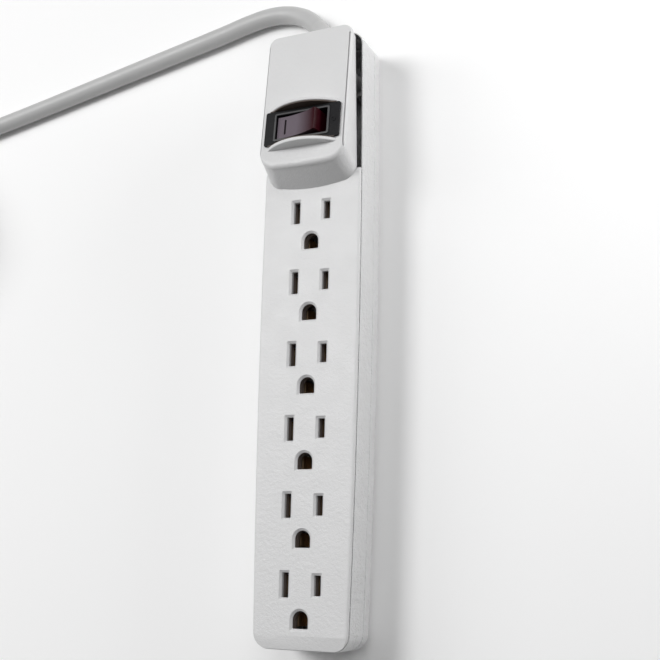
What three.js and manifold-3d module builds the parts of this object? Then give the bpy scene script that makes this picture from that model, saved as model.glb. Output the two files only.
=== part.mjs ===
// Six-outlet power strip with a lit rocker switch, laid on its back, in millimetres.
// X is across the strip, Y is along it towards the cord, Z is up out of the outlet face.
// The origin is under the middle of the strip, on the surface that it lies on.
import * as THREE from 'three';
import { mergeVertices } from 'three/addons/utils/BufferGeometryUtils.js';
import Module from 'manifold-3d';

const wasm = await Module();
wasm.setup();

// ---------------------------------------------------------------- driving dimensions
// Case
const HALF_LENGTH = 117.5;
const HALF_WIDTH = 20.7;
const WIDEST_Y = 20;
const SIDE_BOW = 1.1e-4;
const CORNER_RADIUS = 6;
const FACE_Z = 24;
const COVER_BOTTOM_Z = 21.8;
const FLANGE_Z = 22.9;
const FLANGE_INSET = 0.25;
const FRAME_TOP_Z = 22.6;
const FRAME_BOTTOM_Z = 10.8;
const BACK_TOP_Z = 10.5;
const BACK_TAPER_Z = 5.6;
const BACK_FLOOR_Z = 2.2;
const WALL = 1.7;
const GAP = 0.3;
const BEVEL_START_Y = -112.5;
const BEVEL_ANGLE = Math.atan(0.18);

// Outlets (NEMA 5-15R layout), first row nearest the switch
const OUTLETS = 6;
const FIRST_ROW_Y = 44.5;
const ROW_PITCH = 27.94;
const BLADE_SPACING = 12.7;
const GROUND_DROP = 11.9;
const SLOT_WIDTH = 2.6;
const NEUTRAL_SLOT = 8.7;
const HOT_SLOT = 7.1;
const GROUND_RADIUS = 3.0;
const GROUND_FLAT = 3.0;
const SLOT_CHAMFER = 0.85;
const CHAMFER_DEPTH = 0.8;

// Wedge housing over the switch
const HOUSING_END_Y = 116.5;
const HOUSING_END_Z = 29.5;
const HOUSING_SLOPE = 0.098;
const HOUSING_BASE_HALF = [18.5, 17.0];
const HOUSING_TOP_HALF = 17.95;
const HOUSING_FRONT_BASE_Y = 53.7;
const HOUSING_FRONT_TOP_Y = 60.6;
const HOUSING_WALL = 2.0;
const HOUSING_SKIRT_Z = 23.4;
const SIDE_GAP_START_Y = 59.5;
const SIDE_GAP_INNER_X = 12;
const SIDE_GAP_WALL = 0.45;
const SIDE_GAP_FLOOR_Z = 17.5;

// Switch, in the frame of its bezel (x across, y along the strip, z out of the housing's top)
const SWITCH_Y = 75.9;
const SWITCH_TILT = Math.atan(HOUSING_SLOPE);
const WELL_X = 10.9;
const WELL_Y = 5.2;
const BEZEL_X = 15.8;
const BEZEL_Y = 7.3;
const GUARD_Y = 7.65;
const GUARD_THICK = 1.5;
const GUARD_HALF_CHORD = 14.5;
const GUARD_RISE = 5.3;
const ROCKER_X = -0.5;
const ROCKER_PIVOT_Z = -3.6;
const ROCKER_HALF = 8.8;
const ROCKER_BASE_HALF = 9.2;
const ROCKER_SHOULDER = 4.6;
const ROCKER_HALF_WIDTH = 4.6;
const ROCKER_TOP = 6.2;
const ROCKER_DISH = 1.0;
const ROCKER_TILT = THREE.MathUtils.degToRad(12.5);
const SEESAW_PIVOT_Z = -12.8;
const SEESAW_TILT = THREE.MathUtils.degToRad(6);
const BODY_BOTTOM_Z = -17;

// Contacts and bus bars
const BLADE_X = BLADE_SPACING / 2;
const BUS_X = 8.6;
const BUS_END_Y = 58;
const STRIP_THICK = 0.6;
const CARRIER_Z = [19.1, 21.2];
const CARRIER_END_Y = 58.6;

// Keyholes in the back, and x and y of each pair of screws
const KEYHOLE_YS = [-62, 50];
const SCREW_PAIRS = [[12.2, -108], [14.2, 2.6], [13.2, 100]];

// Cord
const CORD_RADIUS = 3.8;
const WIRE_RADIUS = 1.3;
const INLET_Z = 10;
const INLET_RADIUS = 5.1;
const CLAMP_Y = 106;
const CLAMP_SCREW_X = 6.6;
const COIL_X = -240;
const COIL_Y = 55.6;
const COIL_LIFT = 1.15;
const COIL_RADIUS = 45;
const COIL_HALF_BAND = 8;
const COIL_HEIGHT = 15.6;
const TIE_ANGLE = THREE.MathUtils.degToRad(140);

// Plug (NEMA 5-15P), lying on the floor beside the coil
const PLUG_X = COIL_X - COIL_RADIUS - 3.9;
const PLUG_Z = 12;
const PLUG_REAR_Y = -1.3;
const PLUG_FACE_Y = -33;

// ---------------------------------------------------------------- geometry helpers
const rowY = (row) => FIRST_ROW_Y - row * ROW_PITCH;
const halfWidth = (y) => HALF_WIDTH - SIDE_BOW * (y - WIDEST_Y) ** 2;
const housingTopZ = (y) => HOUSING_END_Z + HOUSING_SLOPE * (HOUSING_END_Y - y);
const switchMatrix = new THREE.Matrix4()
  .makeRotationX(-SWITCH_TILT)
  .setPosition(0, SWITCH_Y, housingTopZ(SWITCH_Y));

function closed(geometry) {
  const bare = new THREE.BufferGeometry();
  bare.setAttribute('position', geometry.getAttribute('position').clone());
  if (geometry.index) bare.setIndex(geometry.index.clone());
  const merged = mergeVertices(bare, 1e-4);
  const corners = merged.index.array;
  const kept = [];
  for (let i = 0; i < corners.length; i += 3) {
    const [a, b, c] = [corners[i], corners[i + 1], corners[i + 2]];
    if (a !== b && b !== c && c !== a) kept.push(a, b, c);
  }
  merged.setIndex(kept);
  return merged;
}

function toSolid(geometry) {
  const merged = closed(geometry);
  return new wasm.Manifold(new wasm.Mesh({
    numProp: 3,
    vertProperties: new Float32Array(merged.attributes.position.array),
    triVerts: new Uint32Array(merged.index.array)
  }));
}

function toGeometry(solid) {
  const mesh = solid.getMesh();
  const geometry = new THREE.BufferGeometry();
  geometry.setAttribute('position', new THREE.BufferAttribute(mesh.vertProperties, 3));
  geometry.setIndex(new THREE.BufferAttribute(mesh.triVerts, 1));
  return geometry;
}

function combine(base, added, removed) {
  let solid = toSolid(base);
  for (const piece of added) solid = solid.add(toSolid(piece));
  for (const piece of removed) solid = solid.subtract(toSolid(piece));
  return toGeometry(solid);
}

function moved(geometry, x, y, z) {
  return geometry.translate(x, y, z);
}

function inSwitchFrame(geometry) {
  return geometry.applyMatrix4(switchMatrix);
}

// A closed solid through rings of equal count, each anticlockwise in XY and each above the last.
function loft(rings) {
  const count = rings[0].length;
  const position = rings.flat().flatMap((p) => [p.x, p.y, p.z]);
  const index = [];
  for (let level = 0; level < rings.length - 1; level++) {
    for (let i = 0; i < count; i++) {
      const a = level * count + i;
      const b = level * count + (i + 1) % count;
      index.push(a, b, b + count, a, b + count, a + count);
    }
  }
  const flat = (ring) => ring.map((p) => new THREE.Vector2(p.x, p.y));
  const cap = (ring) => THREE.ShapeUtils.triangulateShape(flat(ring), []);
  const topStart = (rings.length - 1) * count;
  for (const [a, b, c] of cap(rings[0])) index.push(c, b, a);
  for (const [a, b, c] of cap(rings.at(-1))) index.push(topStart + a, topStart + b, topStart + c);
  const geometry = new THREE.BufferGeometry();
  geometry.setAttribute('position', new THREE.Float32BufferAttribute(position, 3));
  geometry.setIndex(index);
  return geometry;
}

const level = (points, z) => points.map(([x, y]) => new THREE.Vector3(x, y, z));

function prism(points, z0, z1) {
  return loft([level(points, z0), level(points, z1)]);
}

function box(x0, x1, y0, y1, z0, z1) {
  const geometry = new THREE.BoxGeometry(x1 - x0, y1 - y0, z1 - z0);
  return moved(geometry, (x0 + x1) / 2, (y0 + y1) / 2, (z0 + z1) / 2);
}

function upright(radius, x, y, z0, z1, sides = 12) {
  const geometry = new THREE.CylinderGeometry(radius, radius, z1 - z0, sides).rotateX(Math.PI / 2);
  return moved(geometry, x, y, (z0 + z1) / 2);
}

function along(radius, x, y0, y1, z, sides = 16) {
  const geometry = new THREE.CylinderGeometry(radius, radius, y1 - y0, sides);
  return moved(geometry, x, (y0 + y1) / 2, z);
}

// Solid of revolution about Z; the profile runs [radius, z] from the axis round to the axis.
function turned(profile, segments = 10) {
  const points = profile.map(([radius, z]) => new THREE.Vector2(radius, z));
  return new THREE.LatheGeometry(points, segments).rotateX(Math.PI / 2);
}

function arcPoints(cx, cy, radius, from, to, steps) {
  return Array.from({ length: steps + 1 }, (_, i) => {
    const angle = THREE.MathUtils.degToRad(from + (to - from) * i / steps);
    return [cx + radius * Math.cos(angle), cy + radius * Math.sin(angle)];
  });
}

function roundedRectangle(halfX, halfY, radius, steps = 3) {
  return [
    ...arcPoints(halfX - radius, halfY - radius, radius, 0, 90, steps),
    ...arcPoints(radius - halfX, halfY - radius, radius, 90, 180, steps),
    ...arcPoints(radius - halfX, radius - halfY, radius, 180, 270, steps),
    ...arcPoints(halfX - radius, radius - halfY, radius, 270, 360, steps)
  ];
}

// A flat outline in XZ made thick along Y, from y0 to y1.
function slab(points, y0, y1) {
  const geometry = prism(points, -y1, -y0);
  return geometry.rotateX(Math.PI / 2);
}

function smoothCurve(points) {
  const knots = points.map(([x, y, z]) => new THREE.Vector3(x, y, z));
  return new THREE.CatmullRomCurve3(knots, false, 'centripetal');
}

function tube(points, radius, steps, sides) {
  const curve = smoothCurve(points);
  const section = new THREE.Shape(arcPoints(0, 0, radius, 0, 360 - 360 / sides, sides - 1)
    .map(([x, y]) => new THREE.Vector2(x, y)));
  return new THREE.ExtrudeGeometry(section, { steps, extrudePath: curve, bevelEnabled: false });
}

// A round solid along a curve, from stations of [distance along it, radius].
function taperedTube(points, stations, sides) {
  const curve = smoothCurve(points);
  const length = curve.getLength();
  const frames = curve.computeFrenetFrames(200, false);
  const rings = stations.map(([distance, radius]) => {
    const t = Math.min(distance / length, 1);
    const k = Math.round(t * 200);
    const centre = curve.getPointAt(t);
    return arcPoints(0, 0, radius, 0, 360 - 360 / sides, sides - 1).map(([a, b]) => centre.clone()
      .addScaledVector(frames.normals[k], a)
      .addScaledVector(frames.binormals[k], b));
  });
  const position = rings.flat().flatMap((p) => [p.x, p.y, p.z]);
  const index = [];
  for (let ring = 0; ring < rings.length - 1; ring++) {
    for (let i = 0; i < sides; i++) {
      const a = ring * sides + i;
      const b = ring * sides + (i + 1) % sides;
      index.push(a, b, b + sides, a, b + sides, a + sides);
    }
  }
  const last = (rings.length - 1) * sides;
  for (let i = 1; i < sides - 1; i++) {
    index.push(0, i + 1, i);
    index.push(last, last + i, last + i + 1);
  }
  const geometry = new THREE.BufferGeometry();
  geometry.setAttribute('position', new THREE.Float32BufferAttribute(position, 3));
  geometry.setIndex(index);
  return geometry;
}

// ---------------------------------------------------------------- outlines
// Plan of the case: gently bowed sides, rounded corners; inset moves it inwards.
function caseOutline(inset) {
  const cornerY = HALF_LENGTH - CORNER_RADIUS;
  const radius = CORNER_RADIUS - inset;
  const sideSteps = 8;
  const rightSide = Array.from({ length: sideSteps - 1 }, (_, i) => {
    const y = -cornerY + 2 * cornerY * (i + 1) / sideSteps;
    return [halfWidth(y) - inset, y];
  });
  const cordCorner = halfWidth(cornerY) - CORNER_RADIUS;
  const nearCorner = halfWidth(-cornerY) - CORNER_RADIUS;
  const leftSide = rightSide.map(([x, y]) => [-x, y]).reverse();
  return [
    ...rightSide,
    ...arcPoints(cordCorner, cornerY, radius, 0, 90, 4),
    ...arcPoints(-cordCorner, cornerY, radius, 90, 180, 4),
    ...leftSide,
    ...arcPoints(-nearCorner, -cornerY, radius, 180, 270, 4),
    ...arcPoints(nearCorner, -cornerY, radius, 270, 360, 4)
  ];
}

// Plan of the wedge housing: bowed front, tapering sides, rounded corners. halves holds the half
// widths at the front and at the far end.
function housingOutline(frontY, endY, halves, frontRadius, frontBow) {
  const endRadius = 4.5;
  const frontSteps = 6;
  const frontEdge = halves[0] - frontRadius;
  const endEdge = halves[1] - endRadius;
  const front = Array.from({ length: frontSteps - 1 }, (_, i) => {
    const x = -frontEdge + 2 * frontEdge * (i + 1) / frontSteps;
    return [x, frontY + frontBow * x * x];
  });
  const cornerY = frontY + frontBow * frontEdge ** 2 + frontRadius;
  return [
    ...front,
    ...arcPoints(frontEdge, cornerY, frontRadius, 270, 360, 4),
    ...arcPoints(endEdge, endY - endRadius, endRadius, 0, 90, 3),
    ...arcPoints(-endEdge, endY - endRadius, endRadius, 90, 180, 3),
    ...arcPoints(-frontEdge, cornerY, frontRadius, 180, 270, 4)
  ];
}

function onHousingTop(points, drop) {
  return points.map(([x, y]) => new THREE.Vector3(x, y, housingTopZ(y) - drop));
}

function housingOuter() {
  const base = housingOutline(
    HOUSING_FRONT_BASE_Y, HOUSING_END_Y + 0.6, HOUSING_BASE_HALF, 6, 0.0075);
  const top = (frontY, endY, inset) => {
    const half = HOUSING_TOP_HALF - inset;
    return housingOutline(frontY, endY, [half, half], 7, 0.003);
  };
  return loft([
    level(base, FLANGE_Z),
    level(base, FACE_Z),
    onHousingTop(top(HOUSING_FRONT_TOP_Y - 1.6, HOUSING_END_Y + 0.5, 0), 2.0),
    onHousingTop(top(HOUSING_FRONT_TOP_Y - 0.7, HOUSING_END_Y + 0.4, 0.1), 0.6),
    onHousingTop(top(HOUSING_FRONT_TOP_Y + 0.7, HOUSING_END_Y, 0.5), 0)
  ]);
}

function housingInner() {
  const halves = HOUSING_BASE_HALF.map((half) => half - HOUSING_WALL);
  const endY = HOUSING_END_Y - HOUSING_WALL;
  const base = housingOutline(HOUSING_FRONT_BASE_Y + HOUSING_WALL, endY, halves, 5, 0.0075);
  const roof = housingOutline(HOUSING_FRONT_TOP_Y + HOUSING_WALL, endY, halves, 5, 0.003);
  return loft([
    level(base, COVER_BOTTOM_Z - 1),
    level(base, FACE_Z),
    onHousingTop(roof, HOUSING_WALL)
  ]);
}

// The two regions beside the housing, from |x| = innerX outwards.
function besideHousing(innerX, z0, z1) {
  return [
    box(innerX, HALF_WIDTH + 5, SIDE_GAP_START_Y, HALF_LENGTH + 5, z0, z1),
    box(-HALF_WIDTH - 5, -innerX, SIDE_GAP_START_Y, HALF_LENGTH + 5, z0, z1)
  ];
}

// ---------------------------------------------------------------- case
function slotCut(x, y, halfX, halfY) {
  const wide = SLOT_CHAMFER * 1.25;
  const rectangle = (grow) => roundedRectangle(halfX + grow, halfY + grow, 0.25, 1)
    .map(([a, b]) => [x + a, y + b]);
  return loft([
    level(rectangle(0), COVER_BOTTOM_Z - 1),
    level(rectangle(0), FACE_Z - CHAMFER_DEPTH),
    level(rectangle(wide), FACE_Z + CHAMFER_DEPTH * 0.25)
  ]);
}

function groundOutline(y, grow) {
  const radius = GROUND_RADIUS + grow;
  return [
    [-radius, y - GROUND_FLAT - grow],
    [radius, y - GROUND_FLAT - grow],
    ...arcPoints(0, y + 0.1, radius, 0, 180, 8)
  ];
}

function groundCut(y) {
  return loft([
    level(groundOutline(y, 0), COVER_BOTTOM_Z - 1),
    level(groundOutline(y, 0), FACE_Z - CHAMFER_DEPTH),
    level(groundOutline(y, SLOT_CHAMFER * 1.25), FACE_Z + CHAMFER_DEPTH * 0.25)
  ]);
}

function outletCuts(row) {
  const y = rowY(row);
  return [
    slotCut(-BLADE_X, y, SLOT_WIDTH / 2, NEUTRAL_SLOT / 2),
    slotCut(BLADE_X, y, SLOT_WIDTH / 2, HOT_SLOT / 2),
    groundCut(y - GROUND_DROP)
  ];
}

// Arch of the guards in XZ, lowered by inset, cut off at |x| = halfChord and closed at z = foot.
function archOutline(inset, halfChord, foot) {
  const radius = (GUARD_HALF_CHORD ** 2 + GUARD_RISE ** 2) / (2 * GUARD_RISE);
  const half = THREE.MathUtils.radToDeg(Math.asin(halfChord / radius));
  return [
    [-halfChord, foot],
    [halfChord, foot],
    ...arcPoints(0, GUARD_RISE - radius, radius - inset, 90 - half, 90 + half, 12)
      .filter(([, z]) => z > foot)
  ];
}

function guard(side) {
  const arch = archOutline(0, GUARD_HALF_CHORD, -1.2);
  const y0 = side > 0 ? GUARD_Y : -GUARD_Y - GUARD_THICK;
  return inSwitchFrame(slab(arch, y0, y0 + GUARD_THICK));
}

// The near end of the face slopes down to the edge.
function nearEndBevel() {
  const tool = box(-30, 30, -8, 0, 0, 4);
  return moved(tool.rotateX(BEVEL_ANGLE), 0, BEVEL_START_Y, FACE_Z);
}

// Face plate whose flange lies on top of the side frame's wall, and the housing over the switch.
function faceCover() {
  let cover = toSolid(loft([
    level(caseOutline(WALL + GAP), COVER_BOTTOM_Z),
    level(caseOutline(WALL + GAP), FLANGE_Z),
    level(caseOutline(FLANGE_INSET), FLANGE_Z),
    level(caseOutline(FLANGE_INSET), FACE_Z - 0.8),
    level(caseOutline(FLANGE_INSET + 0.35), FACE_Z - 0.3),
    level(caseOutline(FLANGE_INSET + 1.2), FACE_Z)
  ]));
  const beyondPlate = box(-30, 30, SIDE_GAP_START_Y, HALF_LENGTH + 5, COVER_BOTTOM_Z - 1, FACE_Z + 1);
  const skirtTrim = besideHousing(HOUSING_TOP_HALF - 2, COVER_BOTTOM_Z - 1, HOUSING_SKIRT_Z);
  for (const cut of [nearEndBevel(), beyondPlate]) cover = cover.subtract(toSolid(cut));
  cover = cover.add(toSolid(housingOuter()));
  for (const cut of [...skirtTrim, housingInner()]) cover = cover.subtract(toSolid(cut));
  const bosses = SCREW_PAIRS.flatMap(([x, y]) => {
    const top = y > HOUSING_FRONT_TOP_Y ? HOUSING_END_Z + 0.5 : COVER_BOTTOM_Z + 0.5;
    return [-x, x].map((side) => upright(2.6, side, y, FRAME_BOTTOM_Z + 0.2, top));
  });
  const pilots = SCREW_PAIRS.flatMap(([x, y]) => (
    [-x, x].map((side) => upright(1.5, side, y, 9, 20.6, 8))));
  const opening = prism(roundedRectangle(WELL_X + 1.4, WELL_Y + 1.2, 1, 1), -6, 3);
  const outlets = Array.from({ length: OUTLETS }, (_, row) => outletCuts(row)).flat();
  return combine(
    toGeometry(cover),
    [guard(1), guard(-1), ...bosses],
    [inSwitchFrame(opening), ...pilots, ...outlets]
  );
}

// The band between the seams. Beside the housing its wall is thin above SIDE_GAP_FLOOR_Z.
function sideFrame() {
  const wall = toSolid(prism(caseOutline(0), FRAME_BOTTOM_Z, FRAME_TOP_Z));
  const core = toSolid(prism(caseOutline(WALL), FRAME_BOTTOM_Z - 1, FRAME_TOP_Z + 1));
  const thinned = toSolid(prism(caseOutline(SIDE_GAP_WALL), SIDE_GAP_FLOOR_Z, FRAME_TOP_Z + 1));
  let band = wall.subtract(core);
  for (const side of besideHousing(SIDE_GAP_INNER_X, SIDE_GAP_FLOOR_Z - 1, FRAME_TOP_Z + 2)) {
    band = band.subtract(thinned.intersect(toSolid(side)));
  }
  return toGeometry(band.subtract(toSolid(along(INLET_RADIUS, 0, 110, 120, INLET_Z))));
}

function keyhole(y) {
  const head = upright(4, 0, y, -1, BACK_FLOOR_Z + 1, 20);
  const neck = box(-2.1, 2.1, y, y + 9, -1, BACK_FLOOR_Z + 1);
  const end = upright(2.1, 0, y + 9, -1, BACK_FLOOR_Z + 1, 12);
  return [head, neck, end];
}

function backCover() {
  const outer = loft([
    level(caseOutline(4.0), 0),
    level(caseOutline(3.4), 0.6),
    level(caseOutline(0.25), BACK_TAPER_Z - 0.4),
    level(caseOutline(0), BACK_TAPER_Z),
    level(caseOutline(0), BACK_TOP_Z)
  ]);
  const inner = loft([
    level(caseOutline(4.8), BACK_FLOOR_Z),
    level(caseOutline(1.9), 6.3),
    level(caseOutline(1.9), BACK_TOP_Z + 1)
  ]);
  const posts = SCREW_PAIRS.flatMap(([x, y]) => [-x, x].map((side) => (
    upright(4.2, side, y, 1.5, BACK_TOP_Z - 0.2, 14))));
  const bores = SCREW_PAIRS.flatMap(([x, y]) => [-x, x].flatMap((side) => [
    upright(1.7, side, y, -1, BACK_TOP_Z + 1, 8),
    upright(3.1, side, y, -1, 3.2, 14)
  ]));
  const clampPosts = [-1, 1].map((side) => upright(2.4, side * CLAMP_SCREW_X, CLAMP_Y, 1.5, 9.5));
  const clampPilots = [-1, 1].map((side) => upright(1.4, side * CLAMP_SCREW_X, CLAMP_Y, 4, 11, 8));
  const saddle = box(-3.6, 3.6, CLAMP_Y - 2, CLAMP_Y + 2, 1.5, INLET_Z - CORD_RADIUS - GAP);
  const inlet = [along(INLET_RADIUS, 0, 110, 120, INLET_Z), along(5.9, 0, 111, 115.8, INLET_Z)];
  const hollow = toGeometry(toSolid(outer).subtract(toSolid(inner)));
  return combine(
    hollow,
    [...posts, ...clampPosts, saddle],
    [...bores, ...clampPilots, ...inlet, ...KEYHOLE_YS.flatMap(keyhole)]
  );
}

function caseScrew() {
  return turned([[0, 0.9], [2.6, 0.9], [2.8, 1.4], [2.8, 2.9], [1.25, 2.9], [1.25, 18.6], [0, 20]], 8);
}

function contactCarrier() {
  const [z0, z1] = CARRIER_Z;
  const cuts = [box(-30, 30, CARRIER_END_Y, 120, z0 - 1, z1 + 1)];
  for (let row = 0; row < OUTLETS; row++) {
    const y = rowY(row);
    cuts.push(box(-BLADE_X - 1.5, -BLADE_X + 1.5, y - 4.8, y + 4.8, z0 - 1, z1 + 1));
    cuts.push(box(BLADE_X - 1.5, BLADE_X + 1.5, y - 4, y + 4, z0 - 1, z1 + 1));
    cuts.push(prism(groundOutline(y - GROUND_DROP, 0.3), z0 - 1, z1 + 1));
  }
  for (const [x, y] of SCREW_PAIRS) {
    for (const side of [-x, x]) cuts.push(upright(3, side, y, z0 - 1, z1 + 1));
  }
  return combine(prism(caseOutline(2.1), z0, z1), [], cuts);
}

// ---------------------------------------------------------------- current path
// Spring clip open at the top, bent from strip: two leaves joined by a bridge at z = 8.
function clip(halfGap, flare, halfY) {
  const out = halfGap + STRIP_THICK;
  const profile = [
    [-out, 8], [out, 8], [out, 16.6], [out + flare, 18.6],
    [halfGap + flare, 18.6], [halfGap, 16.6], [halfGap, 8 + STRIP_THICK],
    [-halfGap, 8 + STRIP_THICK], [-halfGap, 16.6], [-halfGap - flare, 18.6],
    [-out - flare, 18.6], [-out, 16.6]
  ];
  return slab(profile, -halfY, halfY);
}

// A strip on edge with a raised lug at each outlet.
function edgeBus(x) {
  const outline = [[rowY(OUTLETS - 1) - 6, 9], [BUS_END_Y, 9], [BUS_END_Y, 14]];
  for (let row = 0; row < OUTLETS; row++) {
    const y = rowY(row);
    outline.push([y + 3, 14], [y + 2.4, 16.2], [y - 2.4, 16.2], [y - 3, 14]);
  }
  outline.push([rowY(OUTLETS - 1) - 6, 14]);
  const geometry = prism(outline, -0.4, 0.4);
  // Local X, Y, Z (along, up, thick) become Y, Z, X.
  const turn = new THREE.Matrix4().makeBasis(
    new THREE.Vector3(0, 1, 0), new THREE.Vector3(0, 0, 1), new THREE.Vector3(1, 0, 0));
  return moved(geometry.applyMatrix4(turn), x, 0, 0);
}

function groundBus() {
  const lowest = rowY(OUTLETS - 1) - GROUND_DROP - 3.5;
  const outline = [[-2.5, lowest], [2.5, lowest]];
  for (let row = OUTLETS - 1; row >= 0; row--) {
    const y = rowY(row) - GROUND_DROP;
    outline.push([2.5, y - 3], [3.4, y - 2.2], [3.4, y + 2.2], [2.5, y + 3]);
  }
  outline.push([2.5, BUS_END_Y], [-2.5, BUS_END_Y]);
  return prism(outline, 7.0, 7.7);
}

// ---------------------------------------------------------------- switch, in its own frame
function switchBezel() {
  const flange = loft([
    level(roundedRectangle(BEZEL_X, BEZEL_Y, 1.2), GAP),
    level(roundedRectangle(BEZEL_X, BEZEL_Y, 1.2), 0.7),
    level(roundedRectangle(BEZEL_X - 0.3, BEZEL_Y - 0.3, 1.2), 1.0)
  ]);
  const sleeve = prism(roundedRectangle(WELL_X + 1.0, WELL_Y + 0.8, 0.8, 1), -1.5, 0.6);
  const rim = prism(roundedRectangle(WELL_X + 0.7, WELL_Y + 0.7, 0.8, 1), 0.5, 1.4);
  const well = prism(roundedRectangle(WELL_X, WELL_Y, 0.4, 1), -3, 3);
  const shield = archOutline(0.45, GUARD_HALF_CHORD - 0.6, 0.6);
  const shields = [-1, 1].map((side) => {
    const ys = [side * BEZEL_Y, side * (BEZEL_Y - 0.4)].sort((a, b) => a - b);
    return slab(shield, ...ys);
  });
  return combine(flange, [sleeve, rim, ...shields], [well]);
}

const TERMINAL_XS = { line: 0, load: 5.6, lamp: -8.0 };

function switchBody() {
  const outer = prism(roundedRectangle(WELL_X + 0.8, WELL_Y + 0.8, 0.8, 1), BODY_BOTTOM_Z, -1.8);
  const cavity = prism(roundedRectangle(WELL_X, WELL_Y, 0.4, 1), BODY_BOTTOM_Z + 1.5, 0);
  const pivotHole = along(1.45, ROCKER_X, -8, 8, ROCKER_PIVOT_Z, 12);
  const slots = Object.values(TERMINAL_XS).map((offset) => {
    const x = ROCKER_X + offset;
    return box(x - 0.75, x + 0.75, -3.5, 3.5, BODY_BOTTOM_Z - 1, BODY_BOTTOM_Z + 3);
  });
  return combine(outer, [], [cavity, pivotHole, ...slots]);
}

// Rocker about its pivot, level; it is tilted when it is placed.
function rockerShape() {
  const dishRadius = (ROCKER_HALF ** 2 + ROCKER_DISH ** 2) / (2 * ROCKER_DISH);
  const half = THREE.MathUtils.radToDeg(Math.asin(ROCKER_HALF / dishRadius));
  const dishCentre = ROCKER_TOP - ROCKER_DISH + dishRadius;
  const outline = [
    [-ROCKER_BASE_HALF + 0.3, -2], [ROCKER_BASE_HALF - 0.3, -2], [ROCKER_BASE_HALF, ROCKER_SHOULDER],
    ...arcPoints(0, dishCentre, dishRadius, 270 + half, 270 - half, 8),
    [-ROCKER_BASE_HALF, ROCKER_SHOULDER]
  ];
  const block = slab(outline, -ROCKER_HALF_WIDTH, ROCKER_HALF_WIDTH);
  const stem = box(-2.6, 2.6, -3.4, 3.4, -5, -1);
  const trunnions = along(1.2, 0, -5.7, 5.7, 0, 12);
  const pockets = [-1, 1].map((side) => (
    box(Math.min(side * 3.2, side * 8.1), Math.max(side * 3.2, side * 8.1), -3.4, 3.4, -4, 3.8)));
  const bore = upright(1.5, 0, 0, -7, -0.4, 12);
  return combine(block, [stem, trunnions], [...pockets, bore]);
}

function plungerShape() {
  return turned([[0, -8.5], [0.8, -8.2], [1.2, -7.4], [1.2, -4.2], [0, -4.2]], 10);
}

function springShape() {
  const turns = 4;
  const steps = turns * 8;
  const points = Array.from({ length: steps + 1 }, (_, i) => {
    const angle = i / 8 * 2 * Math.PI;
    return [0.95 * Math.cos(angle), 0.95 * Math.sin(angle), -3.7 + 2.9 * i / steps];
  });
  return tube(points, 0.2, steps, 4);
}

function lampShape() {
  const profile = [[0, -2.2], [1.1, -2.2], [1.5, -1.6], [1.5, 1.0], [1.0, 1.8], [0, 2.2]];
  return moved(turned(profile, 10).rotateY(Math.PI / 2), 5.6, 0, 1.2);
}

function seesawShape() {
  const outline = [
    [-6.6, -0.1], [-5.2, -0.4], [5.2, -0.4], [6.6, -0.1],
    [6.6, 0.7], [5.2, 0.4], [-5.2, 0.4], [-6.6, 0.7]
  ];
  return slab(outline, -2, 2);
}

// Blade terminal through the floor of the switch body; top is its highest point.
function terminal(top) {
  const outline = [
    [-3.15, top], [-3.15, -22.8], [-2.2, -24.3], [2.2, -24.3], [3.15, -22.8], [3.15, top]
  ];
  const blade = slab(outline, -0.4, 0.4).rotateZ(Math.PI / 2);
  const hole = new THREE.CylinderGeometry(0.9, 0.9, 3, 10).rotateZ(Math.PI / 2);
  return combine(blade, [], [moved(hole, 0, 0, -21.2)]);
}

// ---------------------------------------------------------------- cord and plug
const RELIEF_PATH = [
  [0, 113, INLET_Z], [0, 116, INLET_Z], [-0.1, 118.8, INLET_Z], [-1.1, 122.6, 9.7],
  [-3.1, 126.6, 8.8], [-6.4, 130.6, 7.3]
];

// Cord from the strain relief, down to the floor and away to the coil.
const CORD_ROUTE = [
  [-6.65, 130.85, 7.2], [-9.2, 133.9, 6.3], [-12.2, 137.0, 5.4], [-17.3, 140.5, 4.4],
  [-23.1, 142.7, 3.9], [-31.2, 143.7, 3.8], [-42.3, 142.5, 3.8], [-52.3, 140.4, 3.8],
  [-62.4, 138.4, 3.8], [-73.7, 136.3, 3.8], [-100, 131.4, 3.8], [-130, 125.8, 3.8],
  [-160, 120.2, 3.9], [-190, 114.7, 4.3], [-220.4, 109.0, 4.95]
];

function strainRelief() {
  const stations = [
    [0, 5.5], [2.4, 5.5], [2.4, 4.75], [4.9, 4.75], [4.9, 6.0], [6.2, 6.0],
    [6.6, 5.0], [9, 4.5], [12, 4.25], [16, 4.1], [19.3, 4.0]
  ];
  return taperedTube(RELIEF_PATH, stations, 12);
}

function cordClamp() {
  const block = slab([
    [-8.6, 10], [8.6, 10], [8.6, 12.6], [5.2, 15.4], [-5.2, 15.4], [-8.6, 12.6]
  ], CLAMP_Y - 3.5, CLAMP_Y + 3.5);
  const seats = [-1, 1].map((side) => upright(2.6, side * CLAMP_SCREW_X, CLAMP_Y, 12.6, 17));
  const holes = [-1, 1].map((side) => upright(1.4, side * CLAMP_SCREW_X, CLAMP_Y, 8, 17, 8));
  return combine(block, [], [along(CORD_RADIUS + GAP, 0, 100, 112, INLET_Z), ...seats, ...holes]);
}

function clampScrew() {
  const profile = [
    [0, 4.6], [1.05, 5.6], [1.05, 12.9], [2.3, 12.9], [2.3, 13.8], [1.6, 14.6], [0, 14.6]
  ];
  return turned(profile, 8);
}

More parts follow.
